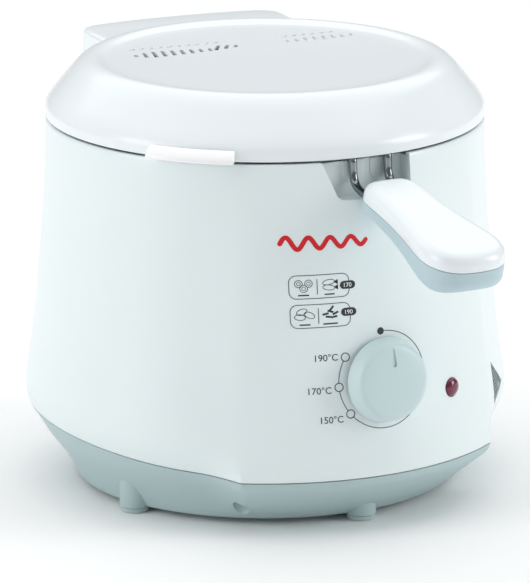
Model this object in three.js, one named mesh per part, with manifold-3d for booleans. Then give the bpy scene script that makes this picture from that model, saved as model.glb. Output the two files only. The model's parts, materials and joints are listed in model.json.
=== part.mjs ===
// Compact deep fryer with a hinged lid, a lift-out basket and a thermostat knob.
// Millimetres, +Z up, front towards -Y. Angles on the body run from the front towards +X.
import * as THREE from "three";
import { mergeVertices } from "three/addons/utils/BufferGeometryUtils.js";
import Module from "manifold-3d";

const wasm = await Module();
wasm.setup();

// ---- driving dimensions --------------------------------------------------
const RAD = Math.PI / 180;
const GAP = 0.3; // between parts that rest on each other
const SHIFT_Y = 44.8; // body axis to the middle of the whole depth

const RIM_R = 118; // casing radius at the lid line
const CASING_TOP = 199.3;
const CONE = 0.0943; // how fast the front panel widens going down
const PANEL_HALF = 35; // degrees from the front to the panel's crease
const CREASE_BLEND = 13; // degrees from the crease to the plain side
const WALL = 2.5;
const SEAM_FRONT = 32; // casing to base line, across the panel
const SEAM_SIDE = 44; // the same line along the sides and back
// Degrees round the body: fine across the front, with a vertex on each crease, coarse behind.
const BODY_STEPS = [...Array.from({ length: 27 }, (_, i) => -65 + 5 * i),
  ...Array.from({ length: 17 }, (_, i) => 77 + 13 * i)];

const SIDE_RADII = [[3.4, 103], [13.6, 107.8], [21, 113], [29.5, 119.5], [37, 124],
  [44, 128.4], [51, 130.4], [58, 130], [72, 127.6], [97, 124.4], [130, 121.5],
  [163, 119], [196, RIM_R], [240, RIM_R]];
const FRONT_BASE_RADII = [[3.4, 103], [25, 129.6], [27.5, 131.9], [SEAM_FRONT, 133.7]];

const DECK_TOP = 192.5; // ledge the bowl's flange lies on
const BOWL_R = 94.5;
const BOWL_BOTTOM = 88;
const FLANGE_TOP = 194;
const BASKET_R = 84;
const BASKET_BOTTOM = 97;
const BASKET_TOP = 186;

const NOTCH_FLOOR = 179.5;
const NOTCH_BACK = 107.5; // how far the pocket's back wall is from the axis
const POCKET_TOP = 197.5; // the back wall stops just under the handle's wires

const LID_TURN = -6; // degrees: the hinge is not quite opposite the panel
const LID_BOTTOM = 200.5;
const PIN_Y = 122.5; // hinge pin, in the lid's own frame
const PIN_Z = 212;
const PIN_R = 2.5;
const BRACKET_HALF = 24;

const FOOT_R = 103; // pitch radius of the feet
const SCREW_R = 112; // pitch radius of the base screws
const FOOT_STEP = 72; // degrees; the screws sit half a step round

const KNOB_X = -1.7;
const KNOB_Z = 83;
const VENT_ANGLE = 45; // the side vent, from the front towards +X
const PILOT = { angle: 19.7, z: 70.6, r: 5 };

const SEAM_SLOPE = 12; // degrees the handle falls towards its tip
const ROD_X = 10.5;
const ROD_R = 2.25;
const HANDLE_ROOT = 110; // the handle frame's distance in front of the axis
const HANDLE_Z = 185;

// ---- materials -----------------------------------------------------------
const material = (color, roughness, metalness = 0) =>
  new THREE.MeshStandardMaterial({ color, roughness, metalness });
const WHITE = [0xdfe8ea, 0.38];
const LID_WHITE = [0xe9eef0, 0.32];
const GREY = [0x9fb0b0, 0.5];
const DARK = [0x2b2c2e, 0.6];
const STEEL = [0xc4c8ca, 0.25, 1];
const RUBBER = [0x3a3c3e, 0.9];

// ---- helpers -------------------------------------------------------------
const point = (x, y, z) => new THREE.Vector3(x, y, z);

function toSolid(geometry) {
  const bare = geometry.clone();
  bare.deleteAttribute("normal");
  bare.deleteAttribute("uv");
  const merged = mergeVertices(bare, 1e-3);
  return new wasm.Manifold(new wasm.Mesh({
    numProp: 3,
    vertProperties: merged.attributes.position.array,
    triVerts: new Uint32Array(merged.index.array),
  }));
}

function toGeometry(solid) {
  const mesh = solid.getMesh();
  return new THREE.BufferGeometry()
    .setAttribute("position", new THREE.BufferAttribute(mesh.vertProperties, 3))
    .setIndex(new THREE.BufferAttribute(mesh.triVerts, 1));
}

const cut = (body, ...tools) => tools.reduce((s, t) => s.subtract(t), body);
const join = (body, ...more) => more.reduce((s, t) => s.add(t), body);

// A solid of revolution whose rows may vary with the angle: each row is [r, z] or angle => [r, z].
// Rows run up the outside and down the inside; the profile closes itself unless it starts on the axis.
// The steps are a count of equal ones, or a list of angles in degrees.
function lathed(rows, steps = 40) {
  const degrees = Array.isArray(steps) ? steps : Array.from({ length: steps }, (_, i) => 360 * i / steps);
  const loop = Array.isArray(rows[0]) && rows[0][0] === 0 ? rows : [...rows, rows[0]];
  const geometry = new THREE.LatheGeometry(loop.map((_, i) => new THREE.Vector2(1, i)), degrees.length);
  const position = geometry.attributes.position;
  for (let i = 0; i <= degrees.length; i++) {
    const angle = degrees[i % degrees.length] * RAD;
    loop.forEach((row, j) => {
      const [r, z] = Array.isArray(row) ? row : row(angle);
      position.setXYZ(i * loop.length + j, r * Math.sin(angle), -r * Math.cos(angle), z);
    });
  }
  return geometry;
}

const box = (x0, x1, y0, y1, z0, z1) =>
  new THREE.BoxGeometry(x1 - x0, y1 - y0, z1 - z0)
    .translate((x0 + x1) / 2, (y0 + y1) / 2, (z0 + z1) / 2);

// A cylinder along +Z from z0 to z1, at x, y.
const post = (r, z0, z1, x = 0, y = 0, steps = 16) =>
  lathed([[0, z0], [r, z0], [r, z1], [0, z1]], steps).translate(x, y, 0);

const alongY = (geometry) => geometry.rotateX(90 * RAD); // +Z becomes -Y
const alongX = (geometry) => geometry.rotateY(90 * RAD); // +Z becomes +X
const turned = (geometry, degrees) => geometry.rotateZ(degrees * RAD);
const around = (r, degrees) => [r * Math.sin(degrees * RAD), -r * Math.cos(degrees * RAD)];

function tube(points, r, steps, sides = 8) {
  const section = new THREE.Shape();
  for (let i = 0; i < sides; i++) {
    const a = 2 * Math.PI * i / sides;
    section[i ? "lineTo" : "moveTo"](r * Math.cos(a), r * Math.sin(a));
  }
  return new THREE.ExtrudeGeometry(section, {
    steps, bevelEnabled: false, extrudePath: new THREE.CatmullRomCurve3(points, false, "centripetal"),
  });
}

function outline(points) {
  return new THREE.Shape(points.map(([x, y]) => new THREE.Vector2(x, y)));
}

// A prism from an outline in X and Z, running from y0 to y1.
const prismXZ = (points, y0, y1) =>
  new THREE.ExtrudeGeometry(outline(points), { depth: y1 - y0, bevelEnabled: false })
    .rotateX(90 * RAD).translate(0, y1, 0);

// A prism from an outline in Y and Z, running from x0 to x1.
const prismYZ = (points, x0, x1) =>
  new THREE.ExtrudeGeometry(outline(points), { depth: x1 - x0, bevelEnabled: false })
    .applyMatrix4(new THREE.Matrix4().set(0, 0, 1, x0, 1, 0, 0, 0, 0, 1, 0, 0, 0, 0, 0, 1));

const root = new THREE.Group();
const lid = new THREE.Group();
const hinge = new THREE.Group();
const knobGroup = new THREE.Group();
const handleGroup = new THREE.Group();

function add(parent, name, shape, look) {
  const geometry = shape.isBufferGeometry ? shape : toGeometry(shape);
  const mesh = new THREE.Mesh(geometry, material(...look));
  mesh.name = name;
  parent.add(mesh);
  return mesh;
}

// ---- the body's outer skin -----------------------------------------------
function lookUp(table, z) {
  const i = Math.max(1, table.findIndex(([at]) => at >= z));
  const [[z0, r0], [z1, r1]] = [table[i - 1], table[i]];
  return r0 + (r1 - r0) * (z - z0) / (z1 - z0);
}

const frontDegrees = (angle) => Math.abs(((angle / RAD + 540) % 360) - 180);

function skin(angle, z) {
  const front = z >= SEAM_FRONT ? RIM_R + (CASING_TOP + 0.2 - z) * CONE : lookUp(FRONT_BASE_RADII, z);
  const side = lookUp(SIDE_RADII, z);
  const beyond = Math.min(1, Math.max(0, (frontDegrees(angle) - PANEL_HALF) / CREASE_BLEND));
  return side + (front - side) * (1 - beyond) ** 2;
}

function seam(angle) {
  const t = Math.min(1, Math.max(0, (frontDegrees(angle) - PANEL_HALF) / 75));
  return SEAM_FRONT + (SEAM_SIDE - SEAM_FRONT) * t * t * (3 - 2 * t);
}

const onSkin = (z, inset = 0) => (angle) => [skin(angle, z) - inset, z];

// A row between the seam and z = top, at a fraction of the way up.
const aboveSeam = (fraction, inset, top = 60) => (angle) => {
  const z = seam(angle) + fraction * (top - seam(angle));
  return [skin(angle, z) - inset, z];
};

function bodyPlug(grow, z0, z1) {
  const levels = SIDE_RADII.map(([z]) => z).filter((z) => z > z0 && z < z1);
  return lathed([[0, z0], ...[z0, ...levels, z1].map((z) => onSkin(z, -grow)), [0, z1]], BODY_STEPS);
}

const screwAngles = [0, 1, 2, 3, 4].map((i) => FOOT_STEP * (i + 0.5));
const footAngles = [0, 1, 2, 3, 4].map((i) => FOOT_STEP * i);

// ---- fixed body ----------------------------------------------------------
function notch() {
  const across = prismXZ([[-30.5, 201], [-20, NOTCH_FLOOR - 0.5], [20.5, NOTCH_FLOOR - 0.5], [20.5, 201]],
    -140, -NOTCH_BACK);
  const along = prismYZ([[-140, NOTCH_FLOOR], [-117.5, NOTCH_FLOOR], [-NOTCH_BACK, 185],
    [-NOTCH_BACK, 201], [-140, 201]], -40, 40);
  return toSolid(across).intersect(toSolid(along));
}

// Triangular opening in the right side, cut along the surface's own direction.
function ventPrism(shrink) {
  const corners = [[-10 + shrink, 73 - 1.6 * shrink], [-10 + shrink, 49 + 1.6 * shrink],
    [11 - 2.4 * shrink, 57]];
  return toSolid(turned(prismXZ(corners, -145, -100), VENT_ANGLE));
}

function casing() {
  const levels = [60, 72, 97, 130, 163, 197.8];
  const shell = toSolid(lathed([
    ...[0, 0.3, 0.65].map((f) => aboveSeam(f, 0)),
    ...levels.map((z) => onSkin(z)),
    onSkin(CASING_TOP, 0.9), [114.2, CASING_TOP], [113.6, DECK_TOP], [99.5, DECK_TOP], [99.5, 190],
    ...[189, 130, 72].map((z) => onSkin(z, WALL)), ...[0.65, 0.3, 0].map((f) => aboveSeam(f, WALL)),
  ], BODY_STEPS));
  const pocket = toSolid(box(-33, 22.8, -125, -NOTCH_BACK + 1.3, 177.5, POCKET_TOP))
    .intersect(toSolid(post(118.3, 170, 200, 0, 0, BODY_STEPS)));
  const ribs = screwAngles.map((a) =>
    join(toSolid(post(4.4, 31.6, 58, 0, -SCREW_R, 12)), toSolid(box(-3, 3, -129.6, -SCREW_R, 49, 58)))
      .rotate([0, 0, a]));
  const inside = toSolid(bodyPlug(-1, 31, 199));
  const holes = [
    notch(), ventPrism(0),
    toSolid(turned(alongY(post(PILOT.r + GAP, 100, 150)), PILOT.angle)).translate([0, 0, PILOT.z]),
    toSolid(alongY(post(5, 100, 150))).translate([KNOB_X, 0, KNOB_Z]),
    toSolid(alongY(post(7.4, -150, -110))).translate([0, 0, 74]),
    ...screwAngles.map((a) => toSolid(post(1.9, 30, 52, ...around(SCREW_R, a), 12))),
    ...[-15, 15].map((x) => toSolid(alongY(post(1.8, -130, -105, 0, 0, 12)).translate(x, 0, 186)
      .rotateZ(LID_TURN * RAD))),
  ];
  return cut(join(shell, pocket, ...ribs.map((r) => r.intersect(inside))), ...holes);
}

function basePan() {
  const top = (angle) => seam(angle) - 0.4;
  const row = (fraction, inset) => (angle) => {
    const z = 3.6 + fraction * (top(angle) - 3.6);
    return [skin(angle, z) - inset, z];
  };
  const shell = toSolid(lathed([
    [0, 3.4], [101.5, 3.4],
    ...[0.05, 0.4, 0.8, 1].map((f) => row(f, 0)),
    (angle) => [skin(angle, seam(angle)) - WALL - 1.2, top(angle)],
    (angle) => [skin(angle, seam(angle) + 4) - WALL - 1.2, seam(angle) + 4],
    (angle) => [skin(angle, seam(angle) + 4) - WALL - 3, seam(angle) + 4],
    ...[0.85, 0.65, 0.4].map((f) => row(f, WALL + 1.1)), [97, 5.9], [0, 5.9],
  ], BODY_STEPS));
  const posts = footAngles.map((a) => toSolid(post(8, 3, 19, ...around(FOOT_R, a), 24)));
  const inside = toSolid(bodyPlug(-1, 3.5, 60));
  const bosses = screwAngles.map((a) =>
    toSolid(post(7, 4, 31, ...around(SCREW_R, a), 20)).intersect(inside));
  const holes = [
    ...footAngles.map((a) => toSolid(post(2.9, 0, 9.5, ...around(FOOT_R, a), 12))),
    ...screwAngles.map((a) => toSolid(post(4.5, 0, 26, ...around(SCREW_R, a), 20))),
    ...screwAngles.map((a) => toSolid(post(1.9, 20, 40, ...around(SCREW_R, a), 12))),
    ...[-2, -1, 0, 1, 2].map((i) => toSolid(box(i * 12 - 1.8, i * 12 + 1.8, -28, 28, 0, 10))),
  ];
  return cut(join(shell, ...posts, ...bosses), ...holes);
}

const footPad = () =>
  lathed([[0, 0], [6.8, 0], [7.7, 0.9], [7.7, 2.7], [2.6, 2.7], [2.6, 8.5], [0, 8.5]], 18);

const screw = (headR, headZ0, headZ1, shankR, shankZ1) =>
  lathed([[0, headZ0], [headR, headZ0], [headR, headZ1], [shankR, headZ1], [shankR, shankZ1],
    [0, shankZ1]], 12);

const bowl = () => lathed([[0, BOWL_BOTTOM], [80, BOWL_BOTTOM], [89, 90.8], [93.4, 97], [BOWL_R, 105],
  [BOWL_R, DECK_TOP + GAP], [106, DECK_TOP + GAP], [106, FLANGE_TOP], [93.9, FLANGE_TOP],
  [93.2, 193.4], [93.2, 105.3], [92.2, 97.8], [88.3, 92], [79.8, 89.3], [0, 89.3]], 40);

function heatingElement() {
  const points = [point(-16, 84, 80.5), point(-16, 72, 80.5)];
  for (let a = -160; a <= 160; a += 20) points.push(point(...around(62, a), 80.5));
  points.push(point(16, 72, 80.5), point(16, 84, 80.5));
  return tube(points, 3.3, 44, 6);
}

const heatShield = () => lathed([[0, 67.5], [84, 67.5], [88, 72.5], [88, 76], [86.9, 76], [86.9, 73],
  [83.4, 68.7], [0, 68.7]], 32);

function hingeBracket() {
  const neck = prismYZ([[110, 176], [124, 176], [126, 179], [126, PIN_Z], [119, PIN_Z], [119, 199.8],
    [110, 199.8]], -BRACKET_HALF, BRACKET_HALF);
  const barrel = alongX(post(5.5, -BRACKET_HALF, BRACKET_HALF, 0, 0, 24)).translate(0, PIN_Y, PIN_Z);
  const bore = alongX(post(PIN_R + 0.08, -40, 40, 0, 0, 24)).translate(0, PIN_Y, PIN_Z);
  const body = toSolid(bodyPlug(GAP, 150, 199.9)).rotate([0, 0, -LID_TURN]);
  const screws = [-15, 15].map((x) => toSolid(alongY(post(1.8, -140, -100, 0, 0, 12))
    .translate(x, 0, 186)));
  return cut(join(toSolid(neck), toSolid(barrel)), body, toSolid(bore), ...screws);
}

const gland = () => cut(
  toSolid(alongY(lathed([[0, -131.6], [8.6, -131.6], [9, -131.2], [9, -129.8], [7, -129.6], [7, -115],
    [0, -115]], 24))),
  toSolid(alongY(post(3.8, -140, -110))));

// ---- lid, in its own frame -----------------------------------------------
const LID_OUTSIDE = [[RIM_R, LID_BOTTOM], [RIM_R, 206], [111.9, 214.7], [103.4, 224.8], [99.6, 228.6],
  [95.6, 230.9], [92, 231.4], [89, 230.9], [85.5, 229.6], [0, 228.7]];
const LID_INSIDE = [[0, 226.6], [86, 227.3], [92, 228.6], [97.4, 226.8], [109.8, 213.2], [115.5, 205.6],
  [115.5, LID_BOTTOM]];

// Leaf-shaped fans of slots: x of the first, y, half lengths, lean in degrees and how deep they reach down.
const THROUGH = 215;
const SHALLOW = 227.7;
const VENT_FANS = [
  { x: -61, y: 33, lean: -12, down: THROUGH, halves: [2.6, 5.6, 7, 6.6, 6, 5.4, 4.8, 3.8, 3.2] },
  { x: -12.4, y: 36, lean: -30, down: THROUGH, halves: [6, 4.6, 3] },
  { x: -57.5, y: 47.5, lean: -58, down: SHALLOW, halves: Array(10).fill(2.8) },
  { x: 29, y: 35.5, lean: -12, down: SHALLOW, halves: [2.6, 3.8, 4.8, 5.2, 5, 4.2, 3.2, 2.4] },
  { x: 32, y: 46.5, lean: -58, down: SHALLOW, halves: Array(6).fill(2.4) },
];
const SLOT_PITCH = 5.4;
const SLOT_HALF = 1.15;

function lidShell() {
  const slots = VENT_FANS.flatMap(({ x, y, lean, down, halves }) => halves.map((half, i) =>
    toSolid(turned(box(-SLOT_HALF, SLOT_HALF, -half, half, down, 240), lean))
      .translate([x + SLOT_PITCH * i, y, 0])));
  const bosses = [0, 120, 240].map((a) => toSolid(post(3.6, 204.7, 229.6, ...around(92, a + 20), 12)));
  const pilots = [0, 120, 240].map((a) => toSolid(post(1.7, 200, 218, ...around(92, a + 20), 10)));
  return cut(join(toSolid(lathed([...LID_INSIDE, ...LID_OUTSIDE], 48)), ...bosses), ...pilots, ...slots);
}

const lidPlug = () => lathed([[0, 150], [RIM_R + 0.4, 150], [RIM_R + 0.4, 206.1],
  ...LID_OUTSIDE.slice(2, 7).map(([r, z]) => [r + 0.35, z + 0.2]), [89, 260], [0, 260]], 48);

// The room under the lid's front edge that the handle's wires pass through.
const wireRelief = () => toSolid(turned(box(-15, 15, -120, -90, 190, 202.9), -LID_TURN));

function lidLiner() {
  const dish = lathed([[0, 203], [108.5, 203], [112.5, LID_BOTTOM], [113.5, LID_BOTTOM],
    [113.5, 203], [109, 204.3], [0, 204.3]], 36);
  return cut(toSolid(dish), wireRelief(), ...[0, 120, 240].map((a) =>
    toSolid(post(2, 200, 210, ...around(92, a + 20), 12))));
}

function lidGasket() {
  const ring = lathed([[101.5, 194.4], [106, 194.4], [106, 202.6], [101.5, 202.6]], 36);
  return cut(toSolid(ring), wireRelief());
}

const COVER_HALF = 59;

function hingeCover() {
  const plan = new THREE.Shape().moveTo(-COVER_HALF, 84).lineTo(-COVER_HALF, 112);
  plan.quadraticCurveTo(-COVER_HALF + 0.5, 123, -44, 125.4).quadraticCurveTo(0, 130.6, 44, 125.4)
    .quadraticCurveTo(COVER_HALF - 0.5, 123, COVER_HALF, 112).lineTo(COVER_HALF, 84);
  const block = new THREE.ExtrudeGeometry(plan, {
    depth: 21.6 - 2 * 2.4, bevelThickness: 2.4, bevelSize: 2.4, bevelOffset: -2.4, bevelSegments: 2,
    curveSegments: 8,
  }).translate(0, 0, 206 + 2.4);
  const pocket = box(-BRACKET_HALF - 0.6, BRACKET_HALF + 0.6, 100, 140, 200, 219.6);
  const bore = alongX(post(PIN_R + 0.08, -38.4, 38.4, 0, 0, 24)).translate(0, PIN_Y, PIN_Z);
  return cut(toSolid(block), toSolid(lidPlug()), toSolid(pocket), toSolid(bore));
}

function lidTab() {
  const ring = lathed([[118.5, 200.7], [123.4, 200.2], [124.8, 201], [124.6, 202.6], [121.6, 205.6],
    [118.5, 206.8]], 72);
  const wedge = prismXZ([[-24, 190], [24, 190], [24, 210], [-24, 210]], -140, -80);
  return toSolid(ring).intersect(toSolid(turned(wedge, -42.4)));
}

// ---- basket and handle ---------------------------------------------------
const basket = () => lathed([[0, BASKET_BOTTOM], [74, BASKET_BOTTOM], [78.5, 99.5], [80, 104],
  [BASKET_R, BASKET_TOP], [BASKET_R - 1.3, BASKET_TOP], [78.7, 104.3], [77.5, 100.4], [73.6, 98.3],
  [0, 98.3]], 40);

function rimWire() {
  const r = 2;
  const section = [0, 1, 2, 3, 4, 5].map((i) => {
    const a = Math.PI * i / 3;
    return [BASKET_R - 0.6 + r * Math.cos(a), BASKET_TOP + GAP + r + r * Math.sin(a)];
  });
  return lathed(section, 40);
}

const seamHeight = (y) => HANDLE_Z - (-y - HANDLE_ROOT) * Math.tan(SEAM_SLOPE * RAD);

function handleRod(x) {
  const inHandle = [-122, -135, -150, -168].map((y) => point(x, y, seamHeight(y)));
  return tube([point(x, -76, 150), point(x, -77.6, 185), point(x, -78.6, 193.5), point(x, -81.5, 197.9),
    point(x, -87, 200), point(x, -95, 200.2), point(x, -106, 200.2), point(x, -110, 200.1),
    point(x, -112.4, 199), point(x, -113.3, 196.4), point(x, -113.3, 188), point(x, -114.6, 185.1),
    point(x, -117.6, 183.5), ...inHandle], ROD_R, 40);
}

// Half widths of the handle at distances from the front of the handle's frame.
const HANDLE_HALF_WIDTHS = [[12.6, 8.5], [14.6, 12.6], [18.6, 15], [25, 16], [35, 16.2], [50, 16.9], [62, 18], [74, 20], [86, 22.2], [94, 22.9],
  [101, 22.4], [106.5, 19.8], [110.6, 14.6], [112.4, 8], [112.9, 0]];

function handlePlan() {
  const right = HANDLE_HALF_WIDTHS.map(([along, half]) => new THREE.Vector2(half, -along));
  const left = right.slice(0, -1).reverse().map((p) => new THREE.Vector2(-p.x, p.y));
  return new THREE.Shape(new THREE.SplineCurve([...right, ...left]).getPoints(44));
}

const handleBlock = (z0, z1, bevel, segments) =>
  toSolid(new THREE.ExtrudeGeometry(handlePlan(), {
    depth: z1 - z0 - 2 * bevel, bevelThickness: bevel, bevelSize: bevel, bevelOffset: -bevel,
    bevelSegments: segments,
  }).translate(0, 0, z0 + bevel));

function rodChannels() {
  return [-ROD_X, ROD_X].map((x) => toSolid(alongY(post(ROD_R + 0.35, 5, 61, x, 0, 12))));
}

const HANDLE_SCREWS = [42, 86];

function handleTop() {
  const holes = HANDLE_SCREWS.map((along) => toSolid(post(1.6, -5, 4, 0, -along, 10)));
  return cut(handleBlock(-5, 9.2, 3.4, 3).intersect(toSolid(box(-40, 40, -130, 0, 0.15, 20))),
    ...rodChannels(), ...holes);
}

function handleBottom() {
  const depth = toSolid(prismYZ([[-10, -0.15], [-10, -5.6], [-40, -7.4], [-75, -10.6], [-98, -12.6],
    [-107, -11], [-113.5, -4], [-113.5, -0.15]].reverse(), -40, 40));
  const holes = HANDLE_SCREWS.flatMap((along) => [
    toSolid(post(1.6, -15, 2, 0, -along, 10)), toSolid(post(3.5, -15, -2.6, 0, -along, 16))]);
  return cut(handleBlock(-13, 6, 4, 3).intersect(depth), ...rodChannels(), ...holes);
}

// ---- knob, built with its axis along +Z -----------------------------------
function knob() {
  const body = toSolid(lathed([[0, 9], [3.3, 9], [3.3, 1], [6, 1], [6, 9.6], [17.2, 9.6], [20, 0.9],
    [22.6, 0.9], [22.6, 2.4], [21.2, 7.6], [20.2, 10], [18.2, 11.5], [10, 12.3], [0, 12.6]], 40));
  const tear = new THREE.Shape().moveTo(0, 18.6);
  tear.quadraticCurveTo(-1.2, 13, -1.2, 9.6).quadraticCurveTo(-1.1, 8.1, 0, 8.1)
    .quadraticCurveTo(1.1, 8.1, 1.2, 9.6).quadraticCurveTo(1.2, 13, 0, 18.6);
  const groove = new THREE.ExtrudeGeometry(tear, { depth: 6, bevelEnabled: false, curveSegments: 4 })
    .translate(0, 0, 11.2);
  return cut(body, toSolid(groove));
}

// ---- assembly ------------------------------------------------------------
add(root, "casing", casing(), WHITE);
add(root, "base_pan", basePan(), GREY);
footAngles.forEach((a, i) => {
  add(root, `foot_pad_${i + 1}`, footPad(), RUBBER).position.set(...around(FOOT_R, a), 0);
});
screwAngles.forEach((a, i) => {
  add(root, `base_screw_${i + 1}`, screw(3.6, 23, 25.7, 1.6, 50), STEEL)
    .position.set(...around(SCREW_R, a), 0);
});
add(root, "oil_bowl", bowl(), [0x3b3d40, 0.45]);
add(root, "heater_plate", post(74, 84.5, BOWL_BOTTOM - GAP, 0, 0, 40), [0xb5b8ba, 0.4, 1]);
add(root, "heating_element", heatingElement(), [0x6d6f70, 0.45, 1]);
add(root, "heat_shield", heatShield(), [0xbfc3c5, 0.35, 1]);
[60, 180, 300].forEach((a, i) => {
  add(root, `shield_post_${i + 1}`, post(4, 6.2, 67.2, ...around(60, a)), STEEL);
});
add(root, "sensor_bulb", alongX(post(3, -20, 20, 0, 0, 12)).translate(0, -20, 81), [0xb97a4a, 0.35, 1]);
add(root, "capillary_tube", tube([point(21.4, -20, 80.8), point(28, -27, 78.5), point(29, -45, 74.6),
  point(24, -70, 73.6), point(18, -84, 77.8), point(9, -96, 79.4), point(6, -104.6, 80)], 0.9, 20, 5),
[0xb97a4a, 0.35, 1]);
add(root, "thermal_fuse", alongX(post(3, -8, 8, 0, 0, 12)).translate(-25, 25, 81), [0xd8d2c0, 0.6]);
add(root, "terminal_block", box(-18, 18, 74, 92, 6.2, 20), [0xe6e2d6, 0.6]);
add(root, "lead_live", tube([point(-9, 83, 20.6), point(-10, 84, 32), point(-24, 97, 50),
  point(-24, 98, 68), point(-18, 95.5, 80), point(-16, 88, 80.5), point(-16, 84.6, 80.5)], 1.3, 18, 5),
[0x6b3f26, 0.6]);
add(root, "lead_neutral", tube([point(9, 83, 20.6), point(10, 84, 32), point(24, 97, 50),
  point(24, 98, 68), point(18, 95.5, 80), point(16, 88, 80.5), point(16, 84.6, 80.5)], 1.3, 18, 5),
[0x2f5d8c, 0.6]);
add(root, "lead_earth", tube([point(0, 80, 20.6), point(0, 79, 30), point(-3, 76, 50), point(-4, 74, 66)],
  1.3, 10, 5), [0x5d8f45, 0.6]);
add(root, "cord_gland", gland().translate([0, 0, 74]), DARK);
add(root, "vent_grille", toSolid(lathed([onSkin(44, 1.9), ...[51, 58, 66, 75].map((z) => onSkin(z, 0.5)),
  ...[75, 66, 58, 51].map((z) => onSkin(z, 1.9))], BODY_STEPS))
  .intersect(ventPrism(0.35)), DARK);
const lensAxis = new THREE.Group();
lensAxis.rotation.z = PILOT.angle * RAD;
root.add(lensAxis);
add(lensAxis, "pilot_lens", alongY(lathed([[0, 122], [PILOT.r, 122], [PILOT.r, 130.9], [3.6, 132],
  [0, 132.4]], 24)).translate(0, 0, PILOT.z), [0x7a2430, 0.2]);
add(lensAxis, "pilot_lamp", alongY(post(2.6, 106, 121.4, 0, 0, 12)).translate(0, 0, PILOT.z),
  [0xd9c8b4, 0.2]);

hinge.rotation.z = LID_TURN * RAD;
root.add(hinge);
add(hinge, "hinge_bracket", hingeBracket(), WHITE);
add(hinge, "hinge_pin", alongX(post(PIN_R, -37.6, 37.6, 0, 0, 24)).translate(0, PIN_Y, PIN_Z), STEEL);
[-15, 15].forEach((x, i) => {
  add(hinge, `hinge_screw_${i + 1}`, alongY(screw(3.4, -128.4, -126.3, 1.5, -110)).translate(x, 0, 186),
    STEEL);
});

lid.rotation.z = LID_TURN * RAD;
root.add(lid);
add(lid, "lid_shell", lidShell(), LID_WHITE);
add(lid, "lid_liner", lidLiner(), [0xd0d4d6, 0.35, 1]);
add(lid, "lid_gasket", lidGasket(), RUBBER);
add(lid, "filter_pad", box(-68, 76, 16, 54, 212, 222), [0x55585a, 0.95]);
[0, 120, 240].forEach((a, i) => {
  add(lid, `lid_screw_${i + 1}`, screw(3.2, 200.9, 202.7, 1.4, 216), STEEL)
    .position.set(...around(92, a + 20), 0);
});
add(lid, "hinge_cover", hingeCover(), LID_WHITE);
add(lid, "lid_tab", lidTab(), [0xf4f6f7, 0.3]);

add(root, "basket", basket(), [0xc9cccd, 0.3, 1]);
add(root, "basket_rim_wire", rimWire(), STEEL);
add(root, "handle_rod_1", handleRod(-ROD_X), STEEL);
add(root, "handle_rod_2", handleRod(ROD_X), STEEL);
handleGroup.position.set(0, -HANDLE_ROOT, HANDLE_Z);
handleGroup.rotation.x = SEAM_SLOPE * RAD;
root.add(handleGroup);
add(handleGroup, "handle_top", handleTop(), LID_WHITE);
add(handleGroup, "handle_bottom", handleBottom(), [0x9db7bf, 0.45]);
HANDLE_SCREWS.forEach((along, i) => {
  add(handleGroup, `handle_screw_${i + 1}`, screw(3.1, -4.9, -2.9, 1.3, 3.4), STEEL)
    .position.set(0, -along, 0);
});

knobGroup.position.set(KNOB_X, -skin(0, KNOB_Z), KNOB_Z);
knobGroup.rotation.x = 90 * RAD - Math.atan(CONE);
root.add(knobGroup);
add(knobGroup, "knob", knob(), [0xb9cdd0, 0.4]);
add(knobGroup, "thermostat_shaft", post(3, -14, 8.6), STEEL);
add(knobGroup, "thermostat_bracket", cut(toSolid(box(-21, 21, -15, 15, -8.6, -7.1)),
  toSolid(post(5.5, -10, 0))), STEEL);
add(knobGroup, "thermostat_body", cut(toSolid(box(-13, 13, -12, 12, -23.5, -9)),
  toSolid(post(3.4, -15, 0))), [0xe0dccf, 0.6]);

const assembly = new THREE.Group();
root.position.y = SHIFT_Y;
assembly.add(root);

export default assembly;
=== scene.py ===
"""Deep fryer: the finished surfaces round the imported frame, laid out as an add-on and run as a script."""
import json
import math

import bmesh
import bpy
from bpy.props import FloatProperty, FloatVectorProperty, IntProperty, PointerProperty
from mathutils import Matrix, Vector

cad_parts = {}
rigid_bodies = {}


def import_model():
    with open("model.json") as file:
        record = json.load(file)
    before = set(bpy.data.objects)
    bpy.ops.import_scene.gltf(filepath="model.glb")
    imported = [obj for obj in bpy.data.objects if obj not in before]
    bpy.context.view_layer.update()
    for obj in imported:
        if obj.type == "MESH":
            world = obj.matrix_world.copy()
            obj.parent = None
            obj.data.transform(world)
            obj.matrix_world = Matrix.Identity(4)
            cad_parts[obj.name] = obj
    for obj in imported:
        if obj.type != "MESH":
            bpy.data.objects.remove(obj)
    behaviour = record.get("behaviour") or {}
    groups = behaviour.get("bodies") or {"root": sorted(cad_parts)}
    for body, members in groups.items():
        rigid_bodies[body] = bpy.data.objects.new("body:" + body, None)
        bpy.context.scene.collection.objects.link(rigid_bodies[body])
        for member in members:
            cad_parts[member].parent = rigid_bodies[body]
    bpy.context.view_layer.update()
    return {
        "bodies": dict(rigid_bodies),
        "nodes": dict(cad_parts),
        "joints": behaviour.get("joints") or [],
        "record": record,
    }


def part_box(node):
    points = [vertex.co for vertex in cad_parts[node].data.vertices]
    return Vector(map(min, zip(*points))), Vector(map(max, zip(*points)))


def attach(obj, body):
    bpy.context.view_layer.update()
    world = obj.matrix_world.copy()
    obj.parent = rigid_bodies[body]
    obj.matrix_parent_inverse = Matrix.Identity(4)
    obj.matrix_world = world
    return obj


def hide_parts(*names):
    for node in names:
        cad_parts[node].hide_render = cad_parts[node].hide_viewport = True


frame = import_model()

bl_info = {
    "name": "Deep Fryer",
    "version": (1, 0, 0),
    "blender": (4, 5, 0),
    "location": "View3D > Sidebar > Fryer",
    "description": "Builds the visible pieces of a compact deep fryer round its packed frame",
    "category": "Object",
}

MM = 0.001

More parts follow.
